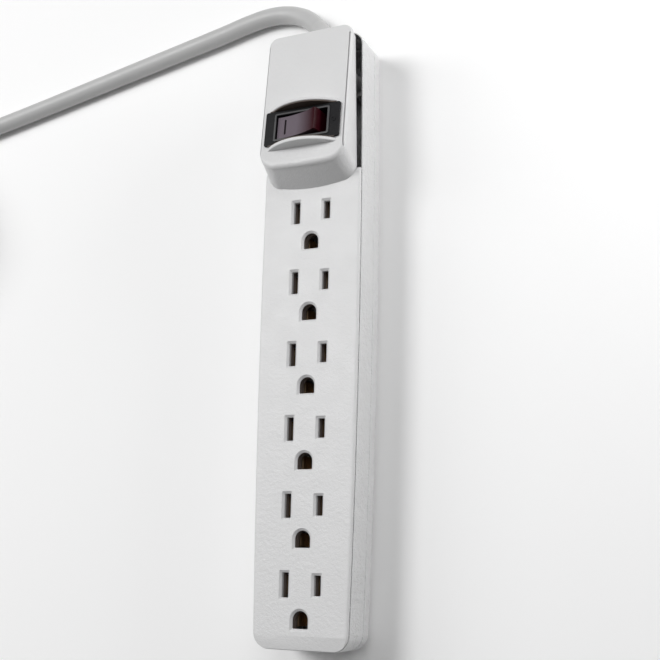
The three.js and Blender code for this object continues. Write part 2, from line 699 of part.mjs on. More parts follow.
function coilRing() {
  const inner = COIL_RADIUS - COIL_HALF_BAND;
  const outer = COIL_RADIUS + COIL_HALF_BAND;
  const top = COIL_LIFT + COIL_HEIGHT;
  const profile = [
    [inner, COIL_LIFT + 3], [inner + 2, COIL_LIFT], [outer - 2, COIL_LIFT], [outer, COIL_LIFT + 3],
    [outer, top - 4], [outer - 3.5, top], [inner + 3.5, top], [inner, top - 4], [inner, COIL_LIFT + 3]
  ];
  return turned(profile, 40);
}

// Strap round the coil's band, at TIE_ANGLE round the coil.
function cordTie() {
  const inner = roundedRectangle(COIL_HALF_BAND + 0.5, COIL_HEIGHT / 2 + 0.35, 1.5, 2);
  const outer = roundedRectangle(COIL_HALF_BAND + 1.3, COIL_HEIGHT / 2 + 1.12, 2.2, 2);
  const ring = toGeometry(toSolid(prism(outer, -4, 4)).subtract(toSolid(prism(inner, -6, 6))));
  const radial = new THREE.Vector3(Math.cos(TIE_ANGLE), Math.sin(TIE_ANGLE), 0);
  const upwards = new THREE.Vector3(0, 0, 1);
  const turn = new THREE.Matrix4()
    .makeBasis(radial, upwards, new THREE.Vector3().crossVectors(radial, upwards));
  const centre = radial.clone().multiplyScalar(COIL_RADIUS)
    .add(new THREE.Vector3(COIL_X, COIL_Y, COIL_LIFT + COIL_HEIGHT / 2));
  return moved(ring.applyMatrix4(turn), centre.x, centre.y, centre.z);
}

// Moulded plug body: loft along the plug, narrow at the cord and wide at the blades.
function plugBody() {
  const length = PLUG_REAR_Y - PLUG_FACE_Y;
  const section = (halfX, halfZ, radius, depth) => (
    level(roundedRectangle(halfX, halfZ, radius), depth));
  const shape = loft([
    section(7, 7, 4, 0),
    section(9.5, 9, 5, 5),
    section(11, 10, 5, 14),
    section(13.6, 11.5, 5.5, 20),
    section(14.2, 11.9, 5.5, length - 3),
    section(14.2, 11.9, 5.5, length - 0.8),
    section(13.6, 11.3, 5.2, length)
  ]);
  // Local Z (along the plug) becomes -Y, local Y becomes Z.
  const turn = new THREE.Matrix4().makeBasis(
    new THREE.Vector3(1, 0, 0), new THREE.Vector3(0, 0, 1), new THREE.Vector3(0, -1, 0));
  return moved(shape.applyMatrix4(turn), PLUG_X, PLUG_REAR_Y, PLUG_Z);
}

function plugBlade() {
  const [halfWide, halfThick, length] = [3.175, 0.75, 17.5];
  const tip = length - 1.5;
  const outline = [
    [-halfWide, -tip], [-2, -length], [2, -length], [halfWide, -tip], [halfWide, 0], [-halfWide, 0]
  ];
  const hole = new THREE.CylinderGeometry(1.75, 1.75, 4, 12).rotateX(Math.PI / 2);
  return combine(prism(outline, -halfThick, halfThick), [], [moved(hole, 0, -13, 0)]);
}

function groundPin() {
  const profile = [[0, 0], [2.375, 0], [2.375, 18.4], [1.6, 20], [0, 20.6]];
  return turned(profile, 14).rotateX(Math.PI / 2);
}

// ---------------------------------------------------------------- materials and assembly
const FINISH = {
  white: { color: 0xdedede, roughness: 0.55, metalness: 0 },
  insulator: { color: 0xcfcec9, roughness: 0.6, metalness: 0 },
  dark: { color: 0x1e1c1b, roughness: 0.6, metalness: 0 },
  smoke: { color: 0x4a3338, roughness: 0.25, metalness: 0 },
  brass: { color: 0xb8904a, roughness: 0.35, metalness: 1 },
  steel: { color: 0xb9bcc0, roughness: 0.35, metalness: 1 },
  cord: { color: 0xd8d8d8, roughness: 0.6, metalness: 0 },
  lamp: { color: 0xd9482e, roughness: 0.1, metalness: 0 },
  wireBlack: { color: 0x202020, roughness: 0.5, metalness: 0 },
  wireWhite: { color: 0xe6e6e2, roughness: 0.5, metalness: 0 },
  wireGreen: { color: 0x2f7d3c, roughness: 0.5, metalness: 0 },
  tie: { color: 0x2a2a2c, roughness: 0.9, metalness: 0 }
};

const strip = new THREE.Group();
const switchGroup = new THREE.Group();
switchGroup.position.set(0, SWITCH_Y, housingTopZ(SWITCH_Y));
switchGroup.rotation.x = -SWITCH_TILT;
strip.add(switchGroup);

function addPiece(parent, name, geometry, finish) {
  const mesh = new THREE.Mesh(closed(geometry), new THREE.MeshStandardMaterial(FINISH[finish]));
  mesh.geometry.computeVertexNormals();
  mesh.name = name;
  parent.add(mesh);
  return mesh;
}

function addCase() {
  addPiece(strip, 'face_cover', faceCover(), 'white');
  addPiece(strip, 'side_frame', sideFrame(), 'white');
  addPiece(strip, 'back_cover', backCover(), 'white');
  addPiece(strip, 'contact_carrier', contactCarrier(), 'insulator');
  SCREW_PAIRS.flatMap(([x, y]) => [[-x, y], [x, y]]).forEach(([x, y], i) => {
    addPiece(strip, `case_screw_${i + 1}`, caseScrew(), 'steel').position.set(x, y, 0);
  });
}

function addCurrentPath() {
  addPiece(strip, 'neutral_bus_bar', edgeBus(-BUS_X), 'brass');
  addPiece(strip, 'hot_bus_bar', edgeBus(BUS_X), 'brass');
  addPiece(strip, 'ground_bus_bar', groundBus(), 'brass');
  for (let row = 0; row < OUTLETS; row++) {
    const y = rowY(row);
    const contacts = [
      ['neutral', clip(0.95, 0.3, 3.4), -BLADE_X, y],
      ['hot', clip(0.95, 0.3, 3.4), BLADE_X, y],
      ['ground', clip(2.4, 0.3, 2.4), 0, y - GROUND_DROP]
    ];
    for (const [kind, geometry, x, contactY] of contacts) {
      addPiece(strip, `${kind}_contact_${row + 1}`, geometry, 'brass').position.set(x, contactY, 0);
    }
  }
  const busEnd = BUS_END_Y + GAP;
  const wires = {
    wire_line: ['wireBlack', 10, [
      [1.65, 98.6, 11.1], [1.65, 97, 11.1], [1.65, 92, 12], [1.7, 84, 13.6], [1.7, 74.5, 13.6]
    ]],
    wire_load: ['wireBlack', 8, [
      [7.3, 76, 13.6], [7.4, 70, 13.2], [BUS_X, 63, 12], [BUS_X, busEnd, 12]
    ]],
    wire_neutral: ['wireWhite', 16, [
      [-1.65, 98.6, 11.1], [-1.65, 97, 11.1], [-6, 91, 11.2], [-12.6, 82, 11.2],
      [-13.2, 73, 11.2], [-9.4, 64.5, 11.8], [-BUS_X, 60.5, 12], [-BUS_X, busEnd, 12]
    ]],
    wire_ground: ['wireGreen', 14, [
      [0, 98.6, 8.2], [0, 97, 8.2], [-1.5, 91, 6.4], [-3.4, 82, 5.4],
      [-2.6, 70, 5.4], [0, 63, 7.1], [0, 60.5, 7.35], [0, busEnd, 7.35]
    ]]
  };
  for (const [name, [finish, steps, route]] of Object.entries(wires)) {
    addPiece(strip, name, tube(route, WIRE_RADIUS, steps, 8), finish);
  }
}

function addSwitch() {
  addPiece(switchGroup, 'switch_bezel', switchBezel(), 'dark');
  addPiece(switchGroup, 'switch_body', switchBody(), 'dark');
  const rockerPieces = [
    ['rocker', rockerShape(), 'smoke'],
    ['switch_plunger', plungerShape(), 'steel'],
    ['plunger_spring', springShape(), 'steel'],
    ['indicator_lamp', lampShape(), 'lamp']
  ];
  for (const [name, geometry, finish] of rockerPieces) {
    const piece = addPiece(switchGroup, name, geometry, finish);
    piece.position.set(ROCKER_X, 0, ROCKER_PIVOT_Z);
    piece.rotation.y = -ROCKER_TILT;
  }
  const seesaw = addPiece(switchGroup, 'seesaw_contact', seesawShape(), 'brass');
  seesaw.position.set(ROCKER_X, 0, SEESAW_PIVOT_Z);
  seesaw.rotation.y = SEESAW_TILT;
  const tops = { line: -13.6, load: -14.3, lamp: -14.9 };
  for (const [name, x] of Object.entries(TERMINAL_XS)) {
    addPiece(switchGroup, `terminal_${name}`, terminal(tops[name]), 'brass').position.x = ROCKER_X + x;
  }
}

function addCord() {
  addPiece(strip, 'strain_relief', strainRelief(), 'cord');
  addPiece(strip, 'jacket_end', along(CORD_RADIUS, 0, 98.9, 112.7, INLET_Z, 12), 'cord');
  addPiece(strip, 'cord_clamp', cordClamp(), 'insulator');
  [-CLAMP_SCREW_X, CLAMP_SCREW_X].forEach((x, i) => {
    addPiece(strip, `clamp_screw_${i + 1}`, clampScrew(), 'steel').position.set(x, CLAMP_Y, 0);
  });
  addPiece(strip, 'cord', tube(CORD_ROUTE, CORD_RADIUS, 30, 10), 'cord');
  addPiece(strip, 'cord_coil', coilRing(), 'cord').position.set(COIL_X, COIL_Y, 0);
  addPiece(strip, 'cord_tie', cordTie(), 'tie');
}

function addPlug() {
  addPiece(strip, 'plug_body', plugBody(), 'cord');
  const bootEnd = PLUG_REAR_Y + GAP;
  addPiece(strip, 'plug_boot', taperedTube(
    [[PLUG_X, 20.4, PLUG_Z - 0.4], [PLUG_X, 10, PLUG_Z], [PLUG_X, bootEnd, PLUG_Z]],
    [[0, 4.4], [7, 4.9], [14, 5.5], [18, 6], [21.4, 6]], 12), 'cord');
  const bladeX = PLUG_X + 4;
  const start = PLUG_FACE_Y - GAP;
  const pins = [
    ['plug_line_blade', plugBlade(), bladeX, PLUG_Z - BLADE_X],
    ['plug_neutral_blade', plugBlade(), bladeX, PLUG_Z + BLADE_X],
    ['plug_ground_pin', groundPin(), bladeX - GROUND_DROP, PLUG_Z]
  ];
  for (const [name, geometry, x, z] of pins) {
    addPiece(strip, name, geometry, 'brass').position.set(x, start, z);
  }
}

addCase();
addCurrentPath();
addSwitch();
addCord();
addPlug();

export default strip;
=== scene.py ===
"""Six-outlet power strip: the looks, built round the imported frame.

Sizes are in millimetres in the same frame as the CAD (origin under the middle of the case,
+X across, +Y towards the cord, +Z up out of the outlet face) and become metres in each mesh.
"""
import math

import bmesh
import bpy
from mathutils import Matrix, Vector


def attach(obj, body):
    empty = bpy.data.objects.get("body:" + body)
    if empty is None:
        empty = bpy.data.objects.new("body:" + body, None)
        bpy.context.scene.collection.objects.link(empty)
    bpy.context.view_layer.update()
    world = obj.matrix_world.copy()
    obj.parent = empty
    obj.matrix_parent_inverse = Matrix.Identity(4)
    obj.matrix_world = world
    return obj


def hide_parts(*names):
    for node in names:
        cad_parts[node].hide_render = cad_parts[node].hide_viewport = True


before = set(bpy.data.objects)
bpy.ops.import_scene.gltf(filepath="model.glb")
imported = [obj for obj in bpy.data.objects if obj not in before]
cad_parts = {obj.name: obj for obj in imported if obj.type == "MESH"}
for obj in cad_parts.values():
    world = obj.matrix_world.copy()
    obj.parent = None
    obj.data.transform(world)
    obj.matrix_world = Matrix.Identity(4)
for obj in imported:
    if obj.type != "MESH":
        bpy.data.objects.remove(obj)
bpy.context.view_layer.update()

MM = 0.001

# ------------------------------------------------------------------ driving dimensions
HALF_LENGTH = 117.5
HALF_WIDTH = 20.7
WIDEST_Y = 20.0
SIDE_BOW = 1.1e-4
CORNER_RADIUS = 6.0
FACE_Z = 24.0
COVER_BOTTOM_Z = 21.8
FLANGE_Z = 22.9
FLANGE_INSET = 0.25
FRAME_TOP_Z = 22.6
FRAME_BOTTOM_Z = 10.8
BACK_TOP_Z = 10.5
BACK_TAPER_Z = 5.6
BACK_FLOOR_Z = 2.2
WALL = 1.7
SEAM_CHAMFER = 0.25
# Cutters that run right past the case end at these.
CLEAR_X, CLEAR_Y = 30, 130
BEVEL_START_Y = -112.5
BEVEL_SLOPE = 0.18

ROW_YS = [44.5 - 27.94 * row for row in range(6)]
BLADE_X = 6.35
GROUND_DROP = 11.9
SLOT_HALF_WIDTH = 1.3
NEUTRAL_HALF = 4.35
HOT_HALF = 3.55
GROUND_RADIUS = 3.0
GROUND_FLAT = 3.0
GROUND_UNDERCUT = 1.0
CHAMFER = 0.85
CHAMFER_DEPTH = 0.8

HOUSING_SLOPE = 0.098
HOUSING_END_Y = 116.5
HOUSING_END_Z = 29.5
HOUSING_END_REACH = 0.9
HOUSING_END_RADIUS = 3.5
HOUSING_BASE_HALF = (18.5, 17.0)
HOUSING_TOP_HALF = 17.95
HOUSING_BASE_BOW, HOUSING_TOP_BOW = 0.0075, 0.003
HOUSING_FRONT_BASE_Y = 53.7
HOUSING_FRONT_TOP_Y = 60.6
HOUSING_SKIRT_Z = 23.4
HOUSING_WALL = 2.0
GROOVE_INSET, GROOVE_DEPTH = 0.62, 0.35
GROOVE_YS = (64.5, 113.5)
LEFT_GROOVE_HALF, RIGHT_GROOVE_HALF = 0.1, 0.27
SIDE_GAP_START_Y = 59.5
SIDE_GAP_LEFT_DELAY = 2.0
SIDE_GAP_INNER_X = 12.0
SIDE_GAP_WALL = 0.45
SIDE_GAP_FLOOR_Z = 17.5

SWITCH_Y = 75.9
WELL_X, WELL_Y = 10.9, 5.2
BEZEL_X, BEZEL_Y = 15.8, 7.3
RIM_WIDTH = 0.75
BEZEL_RING_X, BEZEL_RING_RADIUS = 13.3, 1.05
GUARD_Y, GUARD_THICK = 7.65, 1.5
GUARD_HALF_CHORD, GUARD_RISE = 14.5, 5.3
GUARD_RADIUS = (GUARD_HALF_CHORD ** 2 + GUARD_RISE ** 2) / (2 * GUARD_RISE)
GUARD_HALF_ANGLE = math.degrees(math.asin(GUARD_HALF_CHORD / GUARD_RADIUS))
GUARD_ROUND = 0.45
# Where the painted-shade sheets on the guards' inner faces stand, across Y.
SHADE_SHEET_YS = (7.2, 7.6)
ROCKER_X, ROCKER_PIVOT_Z = -0.5, -3.6
ROCKER_HALF, ROCKER_HALF_WIDTH = 8.8, 4.6
ROCKER_BASE_HALF, ROCKER_BASE_Z, ROCKER_SHOULDER = 9.2, -2.0, 4.6
ROCKER_TOP, ROCKER_DISH = 6.2, 1.0
ROCKER_DISH_RADIUS = (ROCKER_HALF ** 2 + ROCKER_DISH ** 2) / (2 * ROCKER_DISH)
ROCKER_DISH_Z = ROCKER_TOP - ROCKER_DISH + ROCKER_DISH_RADIUS
ROCKER_ROUND = 0.3
ROCKER_TILT = math.radians(12.5)
MARK_X = -5.6
MARK_HALF_WIDTH, MARK_HALF_LENGTH = 0.42, 3.2

SCREW_XYS = [(side * x, y) for x, y in ((12.2, -108), (14.2, 2.6), (13.2, 100)) for side in (-1, 1)]
SCREW_BOSS_RADIUS, SCREW_PILOT_RADIUS = 2.6, 1.5
SCREW_POST_RADIUS, SCREW_BORE_RADIUS, SCREW_SINK_RADIUS = 4.2, 1.7, 3.1
KEYHOLE_YS = (-62, 50)
KEYHOLE_HEAD_RADIUS, KEYHOLE_NECK_HALF, KEYHOLE_TRAVEL = 4.0, 2.1, 9.0

CORD_RADIUS = 3.8
INLET_Z = 10.0
INLET_RADIUS, INLET_GROOVE_RADIUS = 5.1, 5.9
CLAMP_X, CLAMP_Y = 6.6, 106.0
COIL_CENTRE = Vector((-240.0, 55.6, 0.0))
COIL_INNER, COIL_OUTER = 41.1, 48.9
COIL_LOW, COIL_HIGH = 4.95, 12.75
TIE_ANGLE = 140.0
TIE_THICK, TIE_HALF_WIDTH, TIE_LAP_HALF_WIDTH = 0.8, 4.0, 3.9
PLUG_X = COIL_CENTRE.x - COIL_OUTER
PLUG_Z = 12.0
PLUG_REAR_Y = -1.3
PLUG_FACE_Y = -33.0
PLUG_BLADES_DX = 4.0
BLADE_HALF_WIDTH, BLADE_HALF_THICK, BLADE_LENGTH = 3.175, 0.75, 17.5
PIN_RADIUS, PIN_LENGTH = 2.375, 20.6

# The floor is in millimetres; the camera and the lights are in metres.
CAMERA_POSITION = (0.166937, -0.089314, 0.365588)
CAMERA_DEGREES = (13.520, 24.468, 1.482)
CAMERA_LENS, CAMERA_SENSOR = 56.91, 36
WORLD_STRENGTH = 0.14
# Each softbox: name, position, target, size and power in watts.
SOFTBOXES = [
    ("key", (-0.62, 0.33, 1.25), (0, 0, 0), (0.5, 0.5), 9.6),
    ("overhead", (0.45, 0.5, 1.25), (0, 0, 0), (0.9, 0.9), 4.9),
    ("side", (-1.2, 0.3, 0.85), (0, 0, 0), (0.7, 0.7), 5.4),
    ("fill", (0.34, 0.20, 0.09), (0, 0.03, 0.02), (0.2, 0.15), 0.72),
]
FLOOR_HALF, FLOOR_CORNER = 4000, 500
FLOOR_TOP_Z, FLOOR_BOTTOM_Z = -0.2, -20


def half_width(y):
    return HALF_WIDTH - SIDE_BOW * (y - WIDEST_Y) ** 2


def housing_top_z(y):
    return HOUSING_END_Z + HOUSING_SLOPE * (HOUSING_END_Y - y)


SWITCH_MATRIX = (
    Matrix.Translation((0, SWITCH_Y, housing_top_z(SWITCH_Y)))
    @ Matrix.Rotation(-math.atan(HOUSING_SLOPE), 4, "X")
)
ROCKER_MATRIX = (
    SWITCH_MATRIX
    @ Matrix.Translation((ROCKER_X, 0, ROCKER_PIVOT_Z))
    @ Matrix.Rotation(-ROCKER_TILT, 4, "Y")
)


# ------------------------------------------------------------------ outlines
def arc(cx, cy, radius, start, end, steps):
    angles = [math.radians(start + (end - start) * i / steps) for i in range(steps + 1)]
    return [(cx + radius * math.cos(a), cy + radius * math.sin(a)) for a in angles]


def circle(cx, cy, radius, sides):
    return arc(cx, cy, radius, 0, 360 - 360 / sides, sides - 1)


def quarter_turn(steps):
    """Angles from 0 to 90 degrees, in radians."""
    return [math.pi / 2 * i / steps for i in range(steps + 1)]


def rounded_rectangle(half_x, half_y, radius, steps=6):
    x, y = half_x - radius, half_y - radius
    return (
        arc(x, y, radius, 0, 90, steps)
        + arc(-x, y, radius, 90, 180, steps)
        + arc(-x, -y, radius, 180, 270, steps)
        + arc(x, -y, radius, 270, 360, steps)
    )


def case_outline(inset, side_steps=28, corner_steps=10):
    """Plan of the case: gently bowed sides and round corners."""
    corner_y = HALF_LENGTH - CORNER_RADIUS
    radius = CORNER_RADIUS - inset
    ys = [-corner_y + 2 * corner_y * i / side_steps for i in range(1, side_steps)]
    right = [(half_width(y) - inset, y) for y in ys]
    left = [(-x, y) for x, y in reversed(right)]
    far = half_width(corner_y) - CORNER_RADIUS
    near = half_width(-corner_y) - CORNER_RADIUS
    return (
        right
        + arc(far, corner_y, radius, 0, 90, corner_steps)
        + arc(-far, corner_y, radius, 90, 180, corner_steps)
        + left
        + arc(-near, -corner_y, radius, 180, 270, corner_steps)
        + arc(near, -corner_y, radius, 270, 360, corner_steps)
    )


def housing_outline(front_y, end_y, halves, front_radius, front_bow):
    """Plan of the wedge housing: bowed front, tapering sides, round corners.

    halves holds the half widths at the front and at the far end.
    """
    edge = halves[0] - front_radius
    end_edge = halves[1] - HOUSING_END_RADIUS
    end_corner_y = end_y - HOUSING_END_RADIUS
    xs = [-edge + 2 * edge * i / 12 for i in range(1, 12)]
    front = [(x, front_y + front_bow * x * x) for x in xs]
    corner_y = front_y + front_bow * edge * edge + front_radius
    return (
        front
        + arc(edge, corner_y, front_radius, 270, 360, 12)
        + arc(end_edge, end_corner_y, HOUSING_END_RADIUS, 0, 90, 9)
        + arc(-end_edge, end_corner_y, HOUSING_END_RADIUS, 90, 180, 9)
        + arc(-edge, corner_y, front_radius, 180, 270, 12)
    )


def level(points, z):
    return [Vector((x, y, z)) for x, y in points]


def on_housing_top(points, drop):
    return [Vector((x, y, housing_top_z(y) - drop)) for x, y in points]


# ------------------------------------------------------------------ meshes
def to_mesh(bm):
    bmesh.ops.remove_doubles(bm, verts=bm.verts, dist=1e-4 * MM)
    bmesh.ops.recalc_face_normals(bm, faces=bm.faces)
    mesh = bpy.data.meshes.new("shape")
    bm.to_mesh(mesh)
    bm.free()
    return mesh


def loft(rings, closed=False):
    """A closed solid through rings of equal count; with closed=True the last ring joins the first."""
    bm = bmesh.new()
    rows = [[bm.verts.new(Vector(p) * MM) for p in ring] for ring in rings]
    count = len(rings[0])
    pairs = list(zip(rows, rows[1:] + ([rows[0]] if closed else [])))
    for low, high in pairs:
        for i in range(count):
            j = (i + 1) % count
            bm.faces.new((low[i], low[j], high[j], high[i]))
    if not closed:
        bm.faces.new(rows[0][::-1])
        bm.faces.new(rows[-1])
    return to_mesh(bm)


def prism(points, z0, z1):
    return loft([level(points, z0), level(points, z1)])


def block(x0, x1, y0, y1, z0, z1):
    return prism([(x0, y0), (x1, y0), (x1, y1), (x0, y1)], z0, z1)


def upright(radius, x, y, z0, z1, sides=32):
    return prism(circle(x, y, radius, sides), z0, z1)


def along(radius, x, y0, y1, z, sides=40):
    """A round bar along Y."""
    return slab(circle(x, z, radius, sides), y0, y1)


def slab(points, y0, y1):
    """An outline in XZ made thick along Y."""
    return loft([[Vector((x, y, z)) for x, z in points] for y in (y0, y1)])


def turned(profile, sides=32):
    """A solid of revolution about Z, from (radius, z) pairs that start and end on the axis."""
    bm = bmesh.new()
    verts = [bm.verts.new(Vector((r, 0, z)) * MM) for r, z in profile]
    edges = [bm.edges.new(pair) for pair in zip(verts, verts[1:])]
    bmesh.ops.spin(
        bm, geom=verts + edges, cent=(0, 0, 0), axis=(0, 0, 1), angle=2 * math.pi, steps=sides)
    return to_mesh(bm)


def placed(mesh, matrix):
    """Moves a mesh by a matrix whose translation is in millimetres."""
    in_metres = matrix.copy()
    in_metres.translation = matrix.translation * MM
    mesh.transform(in_metres)
    return mesh


def shifted(mesh, x, y, z):
    return placed(mesh, Matrix.Translation((x, y, z)))


def joined(meshes):
    """One mesh of several, which it uses up."""
    bm = bmesh.new()
    for mesh in meshes:
        bm.from_mesh(mesh)
        bpy.data.meshes.remove(mesh)
    combined = bpy.data.meshes.new("tools")
    bm.to_mesh(combined)
    bm.free()
    return combined


def add_object(name, data):
    added = bpy.data.objects.new(name, data)
    bpy.context.scene.collection.objects.link(added)
    return added


def boolean(base, tools, operation):
    """Cuts or joins closed meshes and uses them up; the tools must not overlap each other."""
    holders = [add_object("boolean", mesh) for mesh in (base, joined(tools))]
    target, tool = holders
    modifier = target.modifiers.new("boolean", "BOOLEAN")
    modifier.operation = operation
    modifier.solver = "EXACT"
    modifier.object = tool
    depsgraph = bpy.context.evaluated_depsgraph_get()
    result = bpy.data.meshes.new_from_object(target.evaluated_get(depsgraph))
    for holder in holders:
        mesh = holder.data
        bpy.data.objects.remove(holder)
        bpy.data.meshes.remove(mesh)
    return result


def cut(base, *tools):
    return boolean(base, list(tools), "DIFFERENCE")


def weld(base, *tools):
    return boolean(base, list(tools), "UNION")


def smooth_path(points, spacing):
    """Points about spacing apart on a centripetal Catmull-Rom curve through the given points."""
    points = [Vector(p) for p in points]
    padded = [2 * points[0] - points[1], *points, 2 * points[-1] - points[-2]]
    result = []
    for p0, p1, p2, p3 in zip(padded, padded[1:], padded[2:], padded[3:]):
        t1 = (p1 - p0).length ** 0.5
        t2 = t1 + (p2 - p1).length ** 0.5
        t3 = t2 + (p3 - p2).length ** 0.5
        steps = max(2, round((p2 - p1).length / spacing))
        for i in range(steps):
            t = t1 + (t2 - t1) * i / steps
            a1 = p0.lerp(p1, t / t1)
            a2 = p1.lerp(p2, (t - t1) / (t2 - t1))
            a3 = p2.lerp(p3, (t - t2) / (t3 - t2))
            b1 = a1.lerp(a2, t / t2)
            b2 = a2.lerp(a3, (t - t1) / (t3 - t1))
            result.append(b1.lerp(b2, (t - t1) / (t2 - t1)))
    return result + [points[-1]]


def sweep(path, stations, sides=32):
    """A round solid along a path, from stations of (distance along it, radius)."""
    lengths = [0.0]
    for a, b in zip(path, path[1:]):
        lengths.append(lengths[-1] + (b - a).length)
    normal = Vector((0, 0, 1))
    rings = []
    for distance, radius in stations:
        distance = min(distance, lengths[-1])
        k = max(i for i in range(len(path) - 1) if lengths[i] <= distance + 1e-9)
        share = (distance - lengths[k]) / (lengths[k + 1] - lengths[k])
        centre = path[k].lerp(path[k + 1], share)
        tangent = (path[k + 1] - path[k]).normalized()
        normal = (normal - tangent * normal.dot(tangent)).normalized()
        other = tangent.cross(normal)
        ring = circle(0, 0, radius, sides)
        rings.append([centre + normal * a + other * b for a, b in ring])
    return loft(rings)


# ------------------------------------------------------------------ materials
def material_nodes(name, color, roughness, **settings):
    material = bpy.data.materials.new(name)
    material.use_nodes = True
    nodes, links = material.node_tree.nodes, material.node_tree.links
    shader = nodes["Principled BSDF"]
    shader.inputs["Base Color"].default_value = (*color, 1)
    shader.inputs["Roughness"].default_value = roughness
    for key, value in settings.items():
        shader.inputs[key].default_value = value
    coordinates = nodes.new("ShaderNodeTexCoord").outputs["Object"]
    return material, nodes, links, shader, coordinates


def noise(nodes, links, coordinates, scale, detail=3.0, stretch=None):
    """Noise with about scale features in each metre; stretch scales it by axis."""
    if stretch:
        mapping = nodes.new("ShaderNodeMapping")
        mapping.inputs["Scale"].default_value = stretch
        links.new(coordinates, mapping.inputs["Vector"])
        coordinates = mapping.outputs["Vector"]
    texture = nodes.new("ShaderNodeTexNoise")
    texture.inputs["Scale"].default_value = scale
    texture.inputs["Detail"].default_value = detail
    links.new(coordinates, texture.inputs["Vector"])
    return texture.outputs["Fac"]


def spread(nodes, links, value, low, high, start=0.3, end=0.7):
    """Maps a noise value to the range low..high."""
    node = nodes.new("ShaderNodeMapRange")
    node.inputs["From Min"].default_value = start
    node.inputs["From Max"].default_value = end
    node.inputs["To Min"].default_value = low
    node.inputs["To Max"].default_value = high
    links.new(value, node.inputs["Value"])
    return node.outputs["Result"]


def tint(nodes, links, shader, value, first, second):
    """Mixes the base colour between two colours by a value from 0 to 1."""
    mix = nodes.new("ShaderNodeMix")
    mix.data_type = "RGBA"
    mix.inputs[6].default_value = (*first, 1)
    mix.inputs[7].default_value = (*second, 1)
    links.new(value, mix.inputs[0])
    links.new(mix.outputs[2], shader.inputs["Base Color"])


def bumps(nodes, links, shader, layers):
    """Adds up layers of (height value, depth in millimetres) as surface relief."""
    previous = None
    for height, depth in layers:
        bump = nodes.new("ShaderNodeBump")
        bump.inputs["Distance"].default_value = depth * MM
        links.new(height, bump.inputs["Height"])
        if previous:
            links.new(previous, bump.inputs["Normal"])
        previous = bump.outputs["Normal"]
    links.new(previous, shader.inputs["Normal"])


def scaled(color, factor):
    return tuple(min(1.0, c * factor) for c in color)


def plastic(name, color, roughness, grain, depth, variation=0.03, **settings):
    """Moulded plastic: eroded-mould grain, faint mottling and uneven gloss."""
    material, nodes, links, shader, coordinates = material_nodes(name, color, roughness, **settings)
    mottle = spread(nodes, links, noise(nodes, links, coordinates, 45), 0, 1)
    tint(nodes, links, shader, mottle, scaled(color, 1 - variation), scaled(color, 1 + variation))
    clouds = noise(nodes, links, coordinates, 160)
    gloss = spread(nodes, links, clouds, roughness - 0.05, roughness + 0.05)
    links.new(gloss, shader.inputs["Roughness"])
    bumps(nodes, links, shader, [
        (noise(nodes, links, coordinates, grain, 2), depth),
        (noise(nodes, links, coordinates, grain / 3.5, 2), depth * 1.5),
    ])
    return material


def metal(name, color, roughness, stretch):
    """Rolled or turned metal with fine lines along one direction and slight tarnish."""
    material, nodes, links, shader, coordinates = material_nodes(name, color, roughness, Metallic=1.0)
    tarnish = spread(nodes, links, noise(nodes, links, coordinates, 220), 0, 1)
    tint(nodes, links, shader, tarnish, scaled(color, 0.8), scaled(color, 1.05))
    lines = noise(nodes, links, coordinates, 900, 3, stretch)
    gloss = spread(nodes, links, lines, roughness - 0.08, roughness + 0.12)
    links.new(gloss, shader.inputs["Roughness"])
    bumps(nodes, links, shader, [(lines, 0.015)])
    return material


def jacket(name, color):
    """Soft PVC: satin, with faint lengthways flow lines and handling marks."""
    material, nodes, links, shader, coordinates = material_nodes(
        name, color, 0.42, **{"Specular IOR Level": 0.45})
    smudge = spread(nodes, links, noise(nodes, links, coordinates, 70), 0, 1)
    tint(nodes, links, shader, smudge, scaled(color, 0.965), scaled(color, 1.02))
    gloss = spread(nodes, links, noise(nodes, links, coordinates, 260), 0.36, 0.5)
    links.new(gloss, shader.inputs["Roughness"])
    bumps(nodes, links, shader, [
        (noise(nodes, links, coordinates, 1500, 2), 0.012),
        (noise(nodes, links, coordinates, 190, 2), 0.05),
    ])
    return material


def smoked_with_painted_reflection(name):
    """Smoked red polycarbonate of the rocker with a painted reflection: paler and greyer towards its
    pressed end, standing in for a softbox's reflection on its top.
    """
    material, nodes, links, shader, coordinates = material_nodes(
        name, (0.12, 0.03, 0.04), 0.3, **{"Specular IOR Level": 0.15})
    split = nodes.new("ShaderNodeSeparateXYZ")
    links.new(coordinates, split.inputs["Vector"])
    # Painted reflection: the base colour runs along X from pale grey-violet to dark red, in place of
    # a softbox's reflection.
    share = spread(nodes, links, split.outputs["X"], 0, 1, -0.002, 0.0062)
    tint(nodes, links, shader, share, (0.145, 0.120, 0.142), (0.030, 0.002, 0.005))
    haze = spread(nodes, links, noise(nodes, links, coordinates, 300), 0.28, 0.38)
    links.new(haze, shader.inputs["Roughness"])
    bumps(nodes, links, shader, [(noise(nodes, links, coordinates, 350, 2), 0.006)])
    return material


def webbing(name, color):
    """Hook-and-loop strap: crossed threads under a short nap."""
    material, nodes, links, shader, coordinates = material_nodes(
        name, color, 0.85, **{"Sheen Weight": 0.5, "Sheen Roughness": 0.5})
    threads = []
    for direction in ("X", "Z"):
        wave = nodes.new("ShaderNodeTexWave")
        wave.bands_direction = direction
        wave.inputs["Scale"].default_value = 900
        wave.inputs["Distortion"].default_value = 1.5
        links.new(coordinates, wave.inputs["Vector"])
        threads.append(wave.outputs["Fac"])
    nap = noise(nodes, links, coordinates, 2600, 3)
    tint(nodes, links, shader, nap, scaled(color, 0.6), scaled(color, 1.7))
    bumps(nodes, links, shader, [(threads[0], 0.08), (threads[1], 0.08), (nap, 0.12)])
    return material


